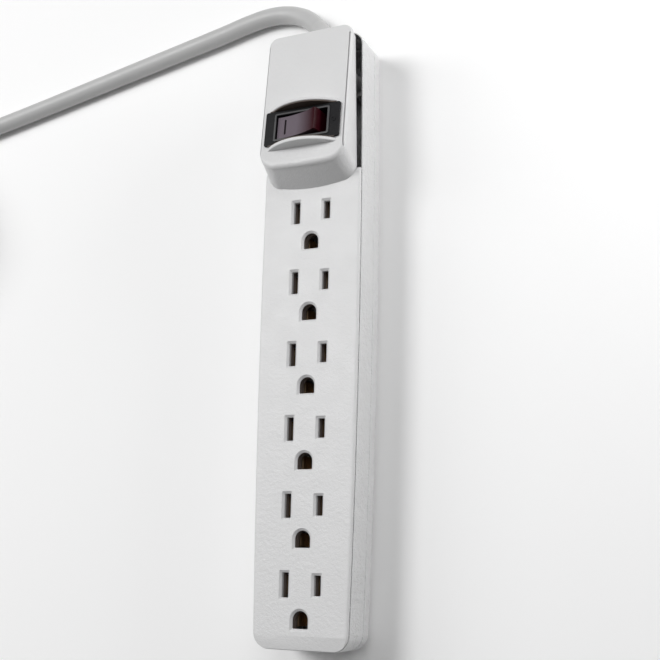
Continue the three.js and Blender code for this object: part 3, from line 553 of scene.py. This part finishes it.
CASE_COLOR = (0.66, 0.66, 0.663)
WHITE = plastic("case_plastic", CASE_COLOR, 0.43, 2600, 0.08, 0.012)
WHITE_SIDE = plastic("case_side_plastic", CASE_COLOR, 0.43, 1500, 0.34, 0.012)
CARRIER = plastic("carrier_plastic", (0.24, 0.20, 0.18), 0.6, 1800, 0.03, 0.1)
BLACK = plastic(
    "switch_plastic", (0.009, 0.009, 0.010), 0.42, 2200, 0.03, 0.08, **{"Specular IOR Level": 0.18})
# Painted highlight: the rim's plastic is a greyer black than the plate's, standing in for the light
# caught on the rim's edges.
RIM_HIGHLIGHT_PAINT = plastic("switch_rim_painted_highlight", (0.055, 0.055, 0.057), 0.4, 2200, 0.02, 0.08)
# Painted shade: a dark brown sheet for the guards' inner faces, standing in for the shadow that falls
# there.
GUARD_PAINTED_SHADE = plastic("guard_painted_shade", (0.075, 0.055, 0.043), 0.5, 2200, 0.03, 0.1)
BRASS = metal("contact_brass", (0.52, 0.38, 0.24), 0.4, (1, 0.15, 1))
BLADE = metal("blade_metal", (0.80, 0.74, 0.60), 0.26, (1, 0.1, 1))
STEEL = metal("zinc_steel", (0.66, 0.68, 0.71), 0.32, (1, 1, 0.2))
JACKET = jacket("cord_pvc", (0.48, 0.48, 0.478))
MOULDING = jacket("moulded_pvc", (0.49, 0.49, 0.488))
SMOKE_WITH_PAINTED_REFLECTION = smoked_with_painted_reflection("rocker_polycarbonate_painted_reflection")
LEGEND = plastic(
    "legend_ink", (0.006, 0.004, 0.005), 0.5, 2000, 0.01, 0.1, **{"Specular IOR Level": 0.1})
WEBBING = webbing("strap_weave", (0.022, 0.022, 0.026))
WIRE_BLACK = plastic("wire_black", (0.02, 0.02, 0.02), 0.35, 900, 0.02, 0.1)
WIRE_WHITE = plastic("wire_white", (0.72, 0.72, 0.70), 0.35, 900, 0.02, 0.03)
WIRE_GREEN = plastic("wire_green", (0.04, 0.26, 0.08), 0.35, 900, 0.02, 0.08)
LAMP = plastic("lamp_glass", (0.8, 0.3, 0.16), 0.08, 400, 0.01, 0.1, **{"Transmission Weight": 0.7})

NODE_MATERIALS = {
    "contact_carrier": CARRIER, "cord_clamp": CARRIER, "switch_body": BLACK,
    "jacket_end": JACKET, "indicator_lamp": LAMP,
    "wire_line": WIRE_BLACK, "wire_load": WIRE_BLACK, "wire_neutral": WIRE_WHITE,
    "wire_ground": WIRE_GREEN, "switch_plunger": STEEL, "plunger_spring": STEEL,
}
STEEL_PARTS = ("clamp_screw",)
BRASS_PARTS = ("contact_", "_contact", "bus_bar", "terminal_")


# ------------------------------------------------------------------ pieces
def put(name, mesh, material, body, nodes=(), sharp=28.0):
    """Adds a finished piece that rides on a body and stands for CAD nodes."""
    mesh.materials.append(material)
    mesh.name = name
    mesh.shade_smooth()
    mesh.set_sharp_from_angle(angle=math.radians(sharp))
    piece = add_object(name, mesh)
    normals = piece.modifiers.new("normals", "WEIGHTED_NORMAL")
    normals.keep_sharp = True
    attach(piece, body)
    if nodes:
        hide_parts(*nodes)


def rounded_cap(outline_at, z, wide, tall=None, steps=6):
    """Rings that round an upper edge; outline_at gives the plan for an inset."""
    tall = wide if tall is None else tall
    return [
        level(outline_at(wide * (1 - math.cos(a))), z - tall + tall * math.sin(a))
        for a in quarter_turn(steps)
    ]


def housing_outer():
    """The housing's outside: sloping walls up to an edge that is rounded most at the front."""
    end = HOUSING_END_Y + HOUSING_END_REACH
    base = housing_outline(HOUSING_FRONT_BASE_Y, end, HOUSING_BASE_HALF, 6, HOUSING_BASE_BOW)
    rings = [level(base, FLANGE_Z), level(base, FACE_Z)]
    for angle in quarter_turn(8):
        back = 1 - math.cos(angle)
        front_y = HOUSING_FRONT_TOP_Y - 1.6 + 2.3 * back
        half = HOUSING_TOP_HALF - 0.5 * back
        plan = housing_outline(front_y, end - 0.25 * back, (half, half), 7, HOUSING_TOP_BOW)
        rings.append(on_housing_top(plan, 2.0 * (1 - math.sin(angle))))
    return loft(rings)


def housing_inner():
    halves = [half - HOUSING_WALL for half in HOUSING_BASE_HALF]
    end = HOUSING_END_Y - HOUSING_WALL
    base = housing_outline(HOUSING_FRONT_BASE_Y + HOUSING_WALL, end, halves, 5, HOUSING_BASE_BOW)
    roof = housing_outline(HOUSING_FRONT_TOP_Y + HOUSING_WALL, end, halves, 5, HOUSING_TOP_BOW)
    return loft([
        level(base, COVER_BOTTOM_Z - 1),
        level(base, FACE_Z),
        on_housing_top(roof, HOUSING_WALL),
    ])


def beside_housing(inner_x, z0, z1):
    """The two regions beside the housing, from |x| = inner_x outwards."""
    start, end = SIDE_GAP_START_Y, HALF_LENGTH + 5
    return [
        block(inner_x, HALF_WIDTH + 5, start, end, z0, z1),
        block(-HALF_WIDTH - 5, -inner_x, start + SIDE_GAP_LEFT_DELAY, end, z0, z1),
    ]


def edge_groove(side, half):
    """The narrow groove along a side edge of the housing's top, half of its width given."""
    x = HOUSING_TOP_HALF - GROOVE_INSET
    deep = GROOVE_DEPTH + 2 * half
    rings = []
    for y in GROOVE_YS:
        z = housing_top_z(y)
        corners = [(x - half, z + 1), (x - half, z - deep), (x + half, z - deep), (x + half, z + 1)]
        rings.append([Vector((side * a, y, b)) for a, b in corners])
    return loft(rings)


def guard_rim(inset):
    """The arched top edge of a guard in XZ, moved inwards by inset."""
    start, end = 90 - GUARD_HALF_ANGLE, 90 + GUARD_HALF_ANGLE
    return arc(0, GUARD_RISE - GUARD_RADIUS, GUARD_RADIUS - inset, start, end, 36)


def guard(side):
    """Arched guard beside the switch, with soft rims."""
    foot = [(-GUARD_HALF_CHORD, -1.2), (GUARD_HALF_CHORD, -1.2)]
    inner, outer = GUARD_Y, GUARD_Y + GUARD_THICK
    rings = []
    for start, turn in ((inner, 1), (outer, -1)):
        for a in quarter_turn(4)[::turn]:
            rim = guard_rim(GUARD_ROUND * (1 - math.sin(a)))
            y = side * (start + turn * GUARD_ROUND * (1 - math.cos(a)))
            rings.append([Vector((x, y, z)) for x, z in foot + rim])
    return placed(loft(rings), SWITCH_MATRIX)


def slot_cutter(x, y, half_x, half_y):
    """The cutter for a blade slot at (x, y), with chamfered edges."""
    def rectangle(grow):
        plan = rounded_rectangle(half_x + grow, half_y + grow, 0.25 + grow * 0.3, 3)
        return [(x + a, y + b) for a, b in plan]

    return loft([
        level(rectangle(0), COVER_BOTTOM_Z - 1),
        level(rectangle(0), FACE_Z - CHAMFER_DEPTH),
        level(rectangle(CHAMFER), FACE_Z),
        level(rectangle(CHAMFER + 0.4), FACE_Z + 0.1),
        level(rectangle(CHAMFER + 0.4), FACE_Z + 1),
    ])


def ground_outline(y, grow):
    """A ground hole's plan: round towards +Y and flat towards -Y, with small corners."""
    radius = GROUND_RADIUS + grow
    corner = 0.35
    floor = y - GROUND_FLAT - grow
    return (
        arc(-radius + corner, floor + corner, corner, 180, 270, 3)
        + arc(radius - corner, floor + corner, corner, 270, 360, 3)
        + arc(0, y + 0.1, radius, 0, 180, 24)
    )


def ground_cutter(y):
    """The cutter for a ground hole: a chamfer, then a short lip with a wider hole under it."""
    lip = FACE_Z - CHAMFER_DEPTH - 0.3
    return loft([
        level(ground_outline(y, GROUND_UNDERCUT), COVER_BOTTOM_Z - 1),
        level(ground_outline(y, GROUND_UNDERCUT), lip - 0.1),
        level(ground_outline(y, 0), lip),
        level(ground_outline(y, 0), FACE_Z - CHAMFER_DEPTH),
        level(ground_outline(y, CHAMFER), FACE_Z),
        level(ground_outline(y, CHAMFER + 0.4), FACE_Z + 0.1),
        level(ground_outline(y, CHAMFER + 0.4), FACE_Z + 1),
    ])


def near_bevel():
    wedge = block(-CLEAR_X, CLEAR_X, -8, 0, 0, 4)
    turn = Matrix.Rotation(math.atan(BEVEL_SLOPE), 4, "X")
    return placed(wedge, Matrix.Translation((0, BEVEL_START_Y, FACE_Z)) @ turn)


def flange_outline(inset):
    return case_outline(FLANGE_INSET + inset)


def outlet_cutters():
    cutters = []
    for y in ROW_YS:
        cutters.append(slot_cutter(-BLADE_X, y, SLOT_HALF_WIDTH, NEUTRAL_HALF))
        cutters.append(slot_cutter(BLADE_X, y, SLOT_HALF_WIDTH, HOT_HALF))
        cutters.append(ground_cutter(y - GROUND_DROP))
    return cutters


def face_cover():
    """Face plate whose flange lies on the band's wall, and the housing over the switch."""
    cover = loft([
        level(case_outline(WALL + 0.3), COVER_BOTTOM_Z),
        level(case_outline(WALL + 0.3), FLANGE_Z),
        level(flange_outline(0.12), FLANGE_Z),
        level(flange_outline(0), FLANGE_Z + 0.1),
        *rounded_cap(flange_outline, FACE_Z, 1.2, 0.8),
    ])
    cover = cut(cover, near_bevel())
    right_end = SIDE_GAP_START_Y
    left_end = right_end + SIDE_GAP_LEFT_DELAY
    low, high = COVER_BOTTOM_Z - 1, FACE_Z + 1
    cover = cut(cover, block(-CLEAR_X, CLEAR_X, left_end, CLEAR_Y, low, high))
    cover = cut(cover, block(0, CLEAR_X, right_end, left_end + 1, low, high))
    cover = weld(cover, housing_outer())
    cover = cut(cover, *beside_housing(HOUSING_TOP_HALF - 2, low, HOUSING_SKIRT_Z))
    cover = cut(cover, housing_inner())
    cover = weld(cover, guard(1), guard(-1))
    opening = prism(rounded_rectangle(WELL_X + 1.4, WELL_Y + 1.2, 1, 3), -6, 0.1)
    grooves = [edge_groove(-1, LEFT_GROOVE_HALF), edge_groove(1, RIGHT_GROOVE_HALF)]
    cover = cut(cover, placed(opening, SWITCH_MATRIX), *grooves, *outlet_cutters())
    bosses = []
    for x, y in SCREW_XYS:
        top = HOUSING_END_Z + 0.5 if y > SIDE_GAP_START_Y else COVER_BOTTOM_Z + 0.5
        bosses.append(upright(SCREW_BOSS_RADIUS, x, y, 11, top))
    cover = weld(cover, *bosses)
    cover = cut(cover, *[upright(SCREW_PILOT_RADIUS, x, y, 9, 20.6, 20) for x, y in SCREW_XYS])
    put("face_shell", cover, WHITE, "case", ["face_cover"])


def inlet_bore():
    return along(INLET_RADIUS, 0, 110, 120, INLET_Z)


def side_frame():
    """The band between the seams, with a thin wall beside the housing."""
    band = loft([
        level(case_outline(SEAM_CHAMFER), FRAME_BOTTOM_Z),
        level(case_outline(0), FRAME_BOTTOM_Z + SEAM_CHAMFER),
        *rounded_cap(case_outline, FRAME_TOP_Z, 0.15, steps=3),
    ])
    band = cut(band, prism(case_outline(WALL), FRAME_BOTTOM_Z - 1, FRAME_TOP_Z + 1))
    thinned = prism(case_outline(SIDE_GAP_WALL), SIDE_GAP_FLOOR_Z, FRAME_TOP_Z + 1)
    thinned = cut(thinned, block(-CLEAR_X, CLEAR_X, -CLEAR_Y, SIDE_GAP_START_Y, 10, 30))
    thinned = cut(thinned, block(-SIDE_GAP_INNER_X, SIDE_GAP_INNER_X, 0, CLEAR_Y, 10, 30))
    band = cut(band, thinned)
    band = cut(band, inlet_bore())
    put("band_shell", band, WHITE_SIDE, "case", ["side_frame"])


def keyhole_cutter(y):
    """A round hole for a screw's head and a narrow neck towards the far end."""
    half, end = KEYHOLE_NECK_HALF, y + KEYHOLE_TRAVEL
    neck = block(-half, half, y, end, -1, BACK_FLOOR_Z + 1)
    neck = weld(neck, upright(half, 0, end, -1, BACK_FLOOR_Z + 1.1, 28))
    return weld(upright(KEYHOLE_HEAD_RADIUS, 0, y, -1, BACK_FLOOR_Z + 1, 40), neck)


def back_cover():
    """The back: a gently curved taper below the second seam, posts, and the cord's inlet."""
    foot = 3.4
    rings = [
        level(case_outline(4.0), 0),
        level(case_outline(3.75), 0.12),
        level(case_outline(foot), 0.5),
    ]
    taper_steps = 6
    for i in range(1, taper_steps + 1):
        share = i / taper_steps
        inset = foot - 3.15 * share ** 0.92
        rings.append(level(case_outline(inset), 0.5 + (BACK_TAPER_Z - 0.9) * share))
    rings += [
        level(case_outline(0), BACK_TAPER_Z),
        level(case_outline(0), BACK_TOP_Z - SEAM_CHAMFER),
        level(case_outline(SEAM_CHAMFER), BACK_TOP_Z),
    ]
    inner = loft([
        level(case_outline(4.8), BACK_FLOOR_Z),
        level(case_outline(1.9), 6.3),
        level(case_outline(1.9), BACK_TOP_Z + 1),
    ])
    shell = cut(loft(rings), inner)
    posts = [upright(SCREW_POST_RADIUS, x, y, 1.5, BACK_TOP_Z - 0.2, 36) for x, y in SCREW_XYS]
    shell = weld(shell, *posts)
    clamp_xs = (-CLAMP_X, CLAMP_X)
    clamp_posts = [upright(2.4, x, CLAMP_Y, 1.5, 9.5) for x in clamp_xs]
    saddle = block(-3.6, 3.6, CLAMP_Y - 2, CLAMP_Y + 2, 1.5, INLET_Z - CORD_RADIUS - 0.3)
    shell = weld(shell, *clamp_posts, saddle)
    bores = [upright(SCREW_BORE_RADIUS, x, y, -1, BACK_TOP_Z + 1, 24) for x, y in SCREW_XYS]
    shell = cut(shell, *bores)
    sinks = [upright(SCREW_SINK_RADIUS, x, y, -1, 3.2, 36) for x, y in SCREW_XYS]
    shell = cut(shell, *sinks, *[upright(1.4, x, CLAMP_Y, 4, 11, 20) for x in clamp_xs])
    shell = cut(shell, weld(inlet_bore(), along(INLET_GROOVE_RADIUS, 0, 111, 115.8, INLET_Z)))
    panel = prism(rounded_rectangle(12, 24, 1.5, 4), -1, 0.25)
    shell = cut(shell, shifted(panel, 0, -8, 0), *[keyhole_cutter(y) for y in KEYHOLE_YS])
    put("back_shell", shell, WHITE_SIDE, "case", ["back_cover"])


def screw_recess():
    """The cross in a screw's head, which narrows as it goes in."""
    def rectangle(half_x, half_y):
        return [(-half_x, -half_y), (half_x, -half_y), (half_x, half_y), (-half_x, half_y)]

    bar = loft([level(rectangle(1.5, 0.32), 0.5), level(rectangle(0.7, 0.2), 2.1)])
    other = bar.copy()
    other.transform(Matrix.Rotation(math.pi / 2, 4, "Z"))
    return weld(bar, other)


def case_screws():
    profile = [
        (0, 0.95), (1.6, 0.95), (2.3, 1.1), (2.7, 1.45), (2.8, 1.9), (2.8, 2.9),
        (1.25, 2.9), (1.25, 18.6), (0.4, 20), (0, 20),
    ]
    for i, (x, y) in enumerate(SCREW_XYS):
        screw = cut(turned(profile, 40), screw_recess())
        angle = math.radians(17 + 53 * i)
        screw = placed(screw, Matrix.Translation((x, y, 0)) @ Matrix.Rotation(angle, 4, "Z"))
        put(f"back_screw_{i + 1}", screw, STEEL, "case", [f"case_screw_{i + 1}"])


def bezel_plan(inset):
    return rounded_rectangle(BEZEL_X - inset, BEZEL_Y - inset, 0.8 - inset * 0.5)


def rim_plan(inset):
    grow = RIM_WIDTH - inset
    return rounded_rectangle(WELL_X + grow, WELL_Y + grow, 0.8, 4)


def ring_plan(inset):
    """Almost a circle: a tiny straight side stays between its corners, so no two points meet."""
    half = BEZEL_RING_RADIUS - inset
    return rounded_rectangle(half, half, half - 0.001, 8)


def switch_well():
    return prism(rounded_rectangle(WELL_X, WELL_Y, 0.4, 3), -3, 3)


def bezel():
    """The switch's plate with a small raised ring, and the rim round its well in a greyer plastic as
    a painted highlight.
    """
    rim = loft([level(rim_plan(0), 0.6), *rounded_cap(rim_plan, 1.5, 0.18, steps=3)])
    rim = placed(cut(rim, switch_well()), SWITCH_MATRIX)
    # The rim gets the greyer plastic as a painted highlight on its edges.
    put("switch_rim", rim, RIM_HIGHLIGHT_PAINT, "case")
    plate = loft([level(bezel_plan(0), 0.3), *rounded_cap(bezel_plan, 1.0, 0.3, steps=4)])
    plate = weld(plate, prism(rim_plan(0.2), -1.5, 0.9))
    ring = loft([level(ring_plan(0), 0.8), level(ring_plan(0), 1.15), level(ring_plan(0.06), 1.2)])
    ring = cut(ring, upright(0.6, 0, 0, 0, 2, 28))
    plate = weld(plate, shifted(ring, BEZEL_RING_X, 0, 0))
    plate = placed(cut(plate, switch_well()), SWITCH_MATRIX)
    put("switch_plate", plate, BLACK, "case", ["switch_bezel"])


def guard_shade_sheets():
    """Dark arched sheets on the guards' inner faces: painted shade standing in for the deep shadow
    there.
    """
    outline = [(-GUARD_HALF_CHORD + 0.4, 0.9), (GUARD_HALF_CHORD - 0.4, 0.9)]
    outline += [(x, z) for x, z in guard_rim(GUARD_ROUND) if z > 1.0]
    for side, name in ((1, "far"), (-1, "near")):
        lining = slab(outline, *sorted(side * y for y in SHADE_SHEET_YS))
        lining = placed(lining, SWITCH_MATRIX)
        put(f"guard_painted_shade_{name}", lining, GUARD_PAINTED_SHADE, "case")


def rocker_ring(inset, y):
    """The rocker's outline in XZ, moved inwards by inset."""
    radius = ROCKER_DISH_RADIUS + inset
    half = math.degrees(math.asin((ROCKER_HALF - inset) / radius))
    base = ROCKER_BASE_HALF - inset
    foot = base - 0.3
    outline = [
        (-foot, ROCKER_BASE_Z + inset),
        (foot, ROCKER_BASE_Z + inset),
        (base, ROCKER_SHOULDER),
        *arc(0, ROCKER_DISH_Z, radius, 270 + half, 270 - half, 32),
        (-base, ROCKER_SHOULDER),
    ]
    return [Vector((x, y, z)) for x, z in outline]


def rocker():
    """The dished rocker with its pin, its plunger's socket and the sunk bar mark."""
    near = []
    for a in quarter_turn(4):
        inset = ROCKER_ROUND * (1 - math.sin(a))
        near.append((inset, -ROCKER_HALF_WIDTH + ROCKER_ROUND * (1 - math.cos(a))))
    far = [(inset, -y) for inset, y in reversed(near)]
    cap = loft([rocker_ring(inset, y) for inset, y in near + far])
    cap = weld(cap, block(-2.6, 2.6, -3.4, 3.4, -5, -1))
    cap = weld(cap, along(1.2, 0, -5.7, 5.7, 0, 32))
    pockets = [block(x, x + 4.9, -3.4, 3.4, -4, 3.8) for x in (-8.1, 3.2)]
    cap = cut(cap, *pockets, upright(1.5, 0, 0, -7, -0.4, 28))
    mark_z = ROCKER_DISH_Z - math.sqrt(ROCKER_DISH_RADIUS ** 2 - MARK_X ** 2)
    mark = rounded_rectangle(MARK_HALF_WIDTH, MARK_HALF_LENGTH, 0.3, 5)
    cap = cut(cap, shifted(prism(mark, mark_z - 0.3, mark_z + 2), MARK_X, 0, 0))
    put("rocker_cap", placed(cap, ROCKER_MATRIX), SMOKE_WITH_PAINTED_REFLECTION, "rocker", ["rocker"])
    inlay = rounded_rectangle(MARK_HALF_WIDTH - 0.02, MARK_HALF_LENGTH - 0.02, 0.28, 5)
    inlay = shifted(prism(inlay, mark_z - 0.31, mark_z - 0.2), MARK_X, 0, 0)
    put("rocker_mark", placed(inlay, ROCKER_MATRIX), LEGEND, "rocker")


# ------------------------------------------------------------------ cord
RELIEF_PATH = [
    (0, 113, INLET_Z), (0, 116, INLET_Z), (-0.1, 118.8, INLET_Z), (-1.1, 122.6, 9.7),
    (-3.1, 126.6, 8.8), (-6.4, 130.6, 7.3), (-7.4, 131.5, 7.0),
]
CORD_ROUTE = [
    (-6.65, 130.85, 7.2), (-9.2, 133.9, 6.3), (-12.2, 137.0, 5.4), (-17.3, 140.5, 4.4),
    (-23.1, 142.7, 3.9), (-31.2, 143.7, 3.8), (-42.3, 142.5, 3.8), (-52.3, 140.4, 3.8),
    (-62.4, 138.4, 3.8), (-73.7, 136.3, 3.8), (-100, 131.4, 3.8), (-130, 125.8, 3.8),
    (-160, 120.2, 3.9), (-190, 114.7, 4.3), (-220.4, 109.0, 4.95),
]
COIL_START, COIL_END, COIL_STEP = 100.6, 1260.0, 20.0
# Each change of lane in the coil: start angle, end angle, and what it changes.
LANE_CHANGES = [(410.6, 460.6, "in"), (720.6, 770.6, "up"), (1030.6, 1080.6, "out")]


def smoothstep(value, start, end):
    share = min(1.0, max(0.0, (value - start) / (end - start)))
    return share * share * (3 - 2 * share)


def coil_point(angle):
    """The cord's centre in the coil: two turns side by side below, and the rest on top."""
    moves = {kind: smoothstep(angle, start, end) for start, end, kind in LANE_CHANGES}
    radius = COIL_OUTER + (COIL_INNER - COIL_OUTER) * (moves["in"] - moves["out"])
    height = COIL_LOW + (COIL_HIGH - COIL_LOW) * moves["up"]
    turn = math.radians(angle)
    return COIL_CENTRE + Vector((radius * math.cos(turn), radius * math.sin(turn), height))


def cord_points():
    steps = round((COIL_END - COIL_START) / COIL_STEP)
    coil = [coil_point(COIL_START + (COIL_END - COIL_START) * i / steps) for i in range(steps + 1)]
    tail = [(PLUG_X, 48, 12.6), (PLUG_X, 34, 12.1), (PLUG_X, 20.4, PLUG_Z - 0.3)]
    return [Vector(p) for p in [*CORD_ROUTE, *coil, *tail]]


def supply_cord():
    """The cord as one curve, with a coil for the length that isn't in use."""
    curve = bpy.data.curves.new("supply_cord", "CURVE")
    curve.dimensions = "3D"
    curve.bevel_depth = CORD_RADIUS * MM
    curve.bevel_resolution = 8
    curve.resolution_u = 6
    curve.use_fill_caps = True
    points = cord_points()
    spline = curve.splines.new("BEZIER")
    spline.bezier_points.add(len(points) - 1)
    for knot, point in zip(spline.bezier_points, points):
        knot.co = point * MM
        knot.handle_left_type = knot.handle_right_type = "AUTO"
    curve.materials.append(JACKET)
    cord = add_object("supply_cord", curve)
    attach(cord, "case")
    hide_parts("cord", "cord_coil")


def relief():
    """Strain relief: a collar in the case's wall and a taper that bends with the cord."""
    stations = [
        (0, 5.2), (0.25, 5.5), (2.2, 5.5), (2.4, 5.3), (2.4, 4.75), (4.9, 4.75), (4.9, 5.3),
        (5.15, 5.45), (6.0, 5.4), (6.3, 5.2), (6.6, 4.9), (7.1, 4.7), (8, 4.55), (9, 4.42),
        (11, 4.2), (13, 4.06), (16, 3.95), (20.7, 3.84),
    ]
    sleeve = sweep(smooth_path(RELIEF_PATH, 0.4), stations, 40)
    put("relief_sleeve", sleeve, MOULDING, "case", ["strain_relief"], 40)


def plug_moulding():
    """The plug's body: it widens from the cord to its front, with finger grooves at both sides."""
    # Each section: depth from the rear, half sizes across and up, corner radius.
    sections = [
        (0, 6.2, 6.2, 4.2), (0.4, 6.8, 6.8, 4.4), (1.2, 7.4, 7.3, 4.6), (3, 8.6, 8.4, 5),
        (5, 9.5, 9.0, 5), (8, 10.1, 9.5, 5), (11, 10.5, 9.8, 5), (14, 11.0, 10.0, 5),
        (16, 11.9, 10.5, 5.2), (18, 12.9, 11.1, 5.4), (20, 13.6, 11.5, 5.5), (23, 14.1, 11.8, 5.5),
        (26, 14.2, 11.9, 5.5), (30.6, 14.2, 11.9, 5.5), (31.2, 14.05, 11.75, 5.4),
        (31.55, 13.8, 11.5, 5.3), (31.7, 13.5, 11.2, 5.2),
    ]
    rings = []
    for depth, half_x, half_z, radius in sections:
        plan = rounded_rectangle(half_x, half_z, radius, 8)
        rings.append([Vector((PLUG_X + x, PLUG_REAR_Y - depth, PLUG_Z + z)) for x, z in plan])
    body = loft(rings)
    grips = []
    for i in range(5):
        y = PLUG_REAR_Y - 5.5 - 2.2 * i
        for side in (-1, 1):
            x = PLUG_X + side * (10.9 + 0.1 * i)
            grips.append(block(x - 0.9, x + 0.9, y - 0.45, y + 0.45, PLUG_Z - 5.5, PLUG_Z + 5.5))
    body = cut(body, *grips)
    put("plug_moulding", body, MOULDING, "case", ["plug_body"], 35)


def plug_sleeve():
    """The ribbed sleeve where the cord goes into the plug."""
    stations = [(0, 4.05), (0.3, 4.35)]
    for rib in range(5):
        start = 1.4 + rib * 3.0
        radius = 4.5 + start * 0.075
        stations += [
            (start, radius), (start + 0.3, radius - 0.5),
            (start + 1.2, radius - 0.45), (start + 1.5, radius + 0.1),
        ]
    stations += [(17, 6.0), (21.2, 6.1)]
    route = [(PLUG_X, 20.4, PLUG_Z - 0.4), (PLUG_X, 10, PLUG_Z), (PLUG_X, -0.9, PLUG_Z)]
    sleeve = sweep(smooth_path(route, 0.5), stations, 40)
    put("plug_sleeve", sleeve, MOULDING, "case", ["plug_boot"], 40)


def plug_blade(start):
    """A flat blade from y = start towards -Y, with a tapered tip, eased edges and a hole."""
    half, end = BLADE_HALF_WIDTH, start - BLADE_LENGTH
    right = [(half, start), (half, end + 1.4), (2.9, end + 0.6), (2.2, end)]
    outline = right + [(-x, y) for x, y in reversed(right)]
    eased = [(x * 0.96, y if y == start else y + 0.2) for x, y in outline]
    blade = loft([
        level(eased, -BLADE_HALF_THICK),
        level(outline, 0.15 - BLADE_HALF_THICK),
        level(outline, BLADE_HALF_THICK - 0.15),
        level(eased, BLADE_HALF_THICK),
    ])
    return cut(blade, upright(1.75, 0, start - 13, -2, 2, 32))


def plug():
    plug_moulding()
    plug_sleeve()
    blade_x = PLUG_X + PLUG_BLADES_DX
    start = PLUG_FACE_Y - 0.3
    for name, z in (("plug_line_blade", -BLADE_X), ("plug_neutral_blade", BLADE_X)):
        blade = shifted(plug_blade(start), blade_x, 0, PLUG_Z + z)
        put(f"{name}_finished", blade, BLADE, "case", [name])
    profile = [
        (0, 0), (PIN_RADIUS, 0), (PIN_RADIUS, 17.6), (2.25, 18.6), (1.9, 19.5), (1.2, 20.3),
        (0.5, PIN_LENGTH), (0, PIN_LENGTH),
    ]
    forward = Matrix.Rotation(math.pi / 2, 4, "X")
    at_pin = Matrix.Translation((blade_x - GROUND_DROP, start, PLUG_Z))
    pin = placed(turned(profile, 40), at_pin @ forward)
    put("plug_ground_pin_finished", pin, BLADE, "case", ["plug_ground_pin"])


def tie():
    """Hook-and-loop strap round the coil, with its free end lapped over."""
    half = (COIL_OUTER - COIL_INNER) / 2 + CORD_RADIUS + 0.3

    def turn(out):
        return rounded_rectangle(half + out, half + out, 4.0 + out, 8)

    inner, outer = turn(0), turn(TIE_THICK)
    low, high = -TIE_HALF_WIDTH, TIE_HALF_WIDTH
    rings = [level(inner, low), level(outer, low), level(outer, high), level(inner, high)]
    band = loft(rings, closed=True)
    lapped = slice(2, 22)
    lap_outer, lap_inner = turn(2 * TIE_THICK)[lapped], turn(TIE_THICK + 0.05)[lapped]
    lap = prism(lap_outer + lap_inner[::-1], -TIE_LAP_HALF_WIDTH, TIE_LAP_HALF_WIDTH)
    angle = math.radians(TIE_ANGLE)
    radial = Vector((math.cos(angle), math.sin(angle), 0))
    across = Vector((math.sin(angle), -math.cos(angle), 0))
    centre = COIL_CENTRE + radial * (COIL_OUTER + COIL_INNER) / 2
    centre.z += (COIL_LOW + COIL_HIGH) / 2
    turned_to_coil = Matrix((radial, (0, 0, 1), across)).transposed().to_4x4()
    strap = placed(joined([band, lap]), Matrix.Translation(centre) @ turned_to_coil)
    put("tie_strap", strap, WEBBING, "case", ["cord_tie"], 40)


# ------------------------------------------------------------------ stage
def camera():
    data = bpy.data.cameras.new("camera")
    data.sensor_width = CAMERA_SENSOR
    data.lens = CAMERA_LENS
    holder = add_object("camera", data)
    holder.location = CAMERA_POSITION
    holder.rotation_euler = [math.radians(a) for a in CAMERA_DEGREES]
    bpy.context.scene.camera = holder


def softbox(name, position, target, size, power):
    data = bpy.data.lights.new(name, "AREA")
    data.shape = "RECTANGLE"
    data.size, data.size_y = size
    data.energy = power
    lamp = add_object(name, data)
    lamp.location = position
    aim = Vector(target) - Vector(position)
    lamp.rotation_euler = aim.to_track_quat("-Z", "Y").to_euler()


def stage():
    """The plain floor and the soft light of a small studio."""
    plan = rounded_rectangle(FLOOR_HALF, FLOOR_HALF, FLOOR_CORNER, 8)
    ground = add_object("floor", prism(plan, FLOOR_BOTTOM_Z, FLOOR_TOP_Z))
    paper, nodes, links, shader, coordinates = material_nodes("floor_paper", (0.95, 0.95, 0.95), 0.8)
    bumps(nodes, links, shader, [(noise(nodes, links, coordinates, 900), 0.01)])
    ground.data.materials.append(paper)
    world = bpy.data.worlds.new("studio")
    world.use_nodes = True
    background = world.node_tree.nodes["Background"]
    background.inputs["Color"].default_value = (1, 1, 1, 1)
    background.inputs["Strength"].default_value = WORLD_STRENGTH
    bpy.context.scene.world = world
    for settings in SOFTBOXES:
        softbox(*settings)
    bpy.context.scene.view_settings.view_transform = "Standard"


def finish_cad_nodes():
    """Gives the CAD nodes that stay their materials."""
    for name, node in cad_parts.items():
        material = NODE_MATERIALS.get(name)
        if material is None and any(part in name for part in STEEL_PARTS):
            material = STEEL
        if material is None and any(part in name for part in BRASS_PARTS):
            material = BRASS
        if material is not None:
            for place in node.material_slots:
                place.material = material


camera()
stage()
finish_cad_nodes()
face_cover()
side_frame()
back_cover()
case_screws()
bezel()
guard_shade_sheets()
rocker()
relief()
plug()
tie()
supply_cord()
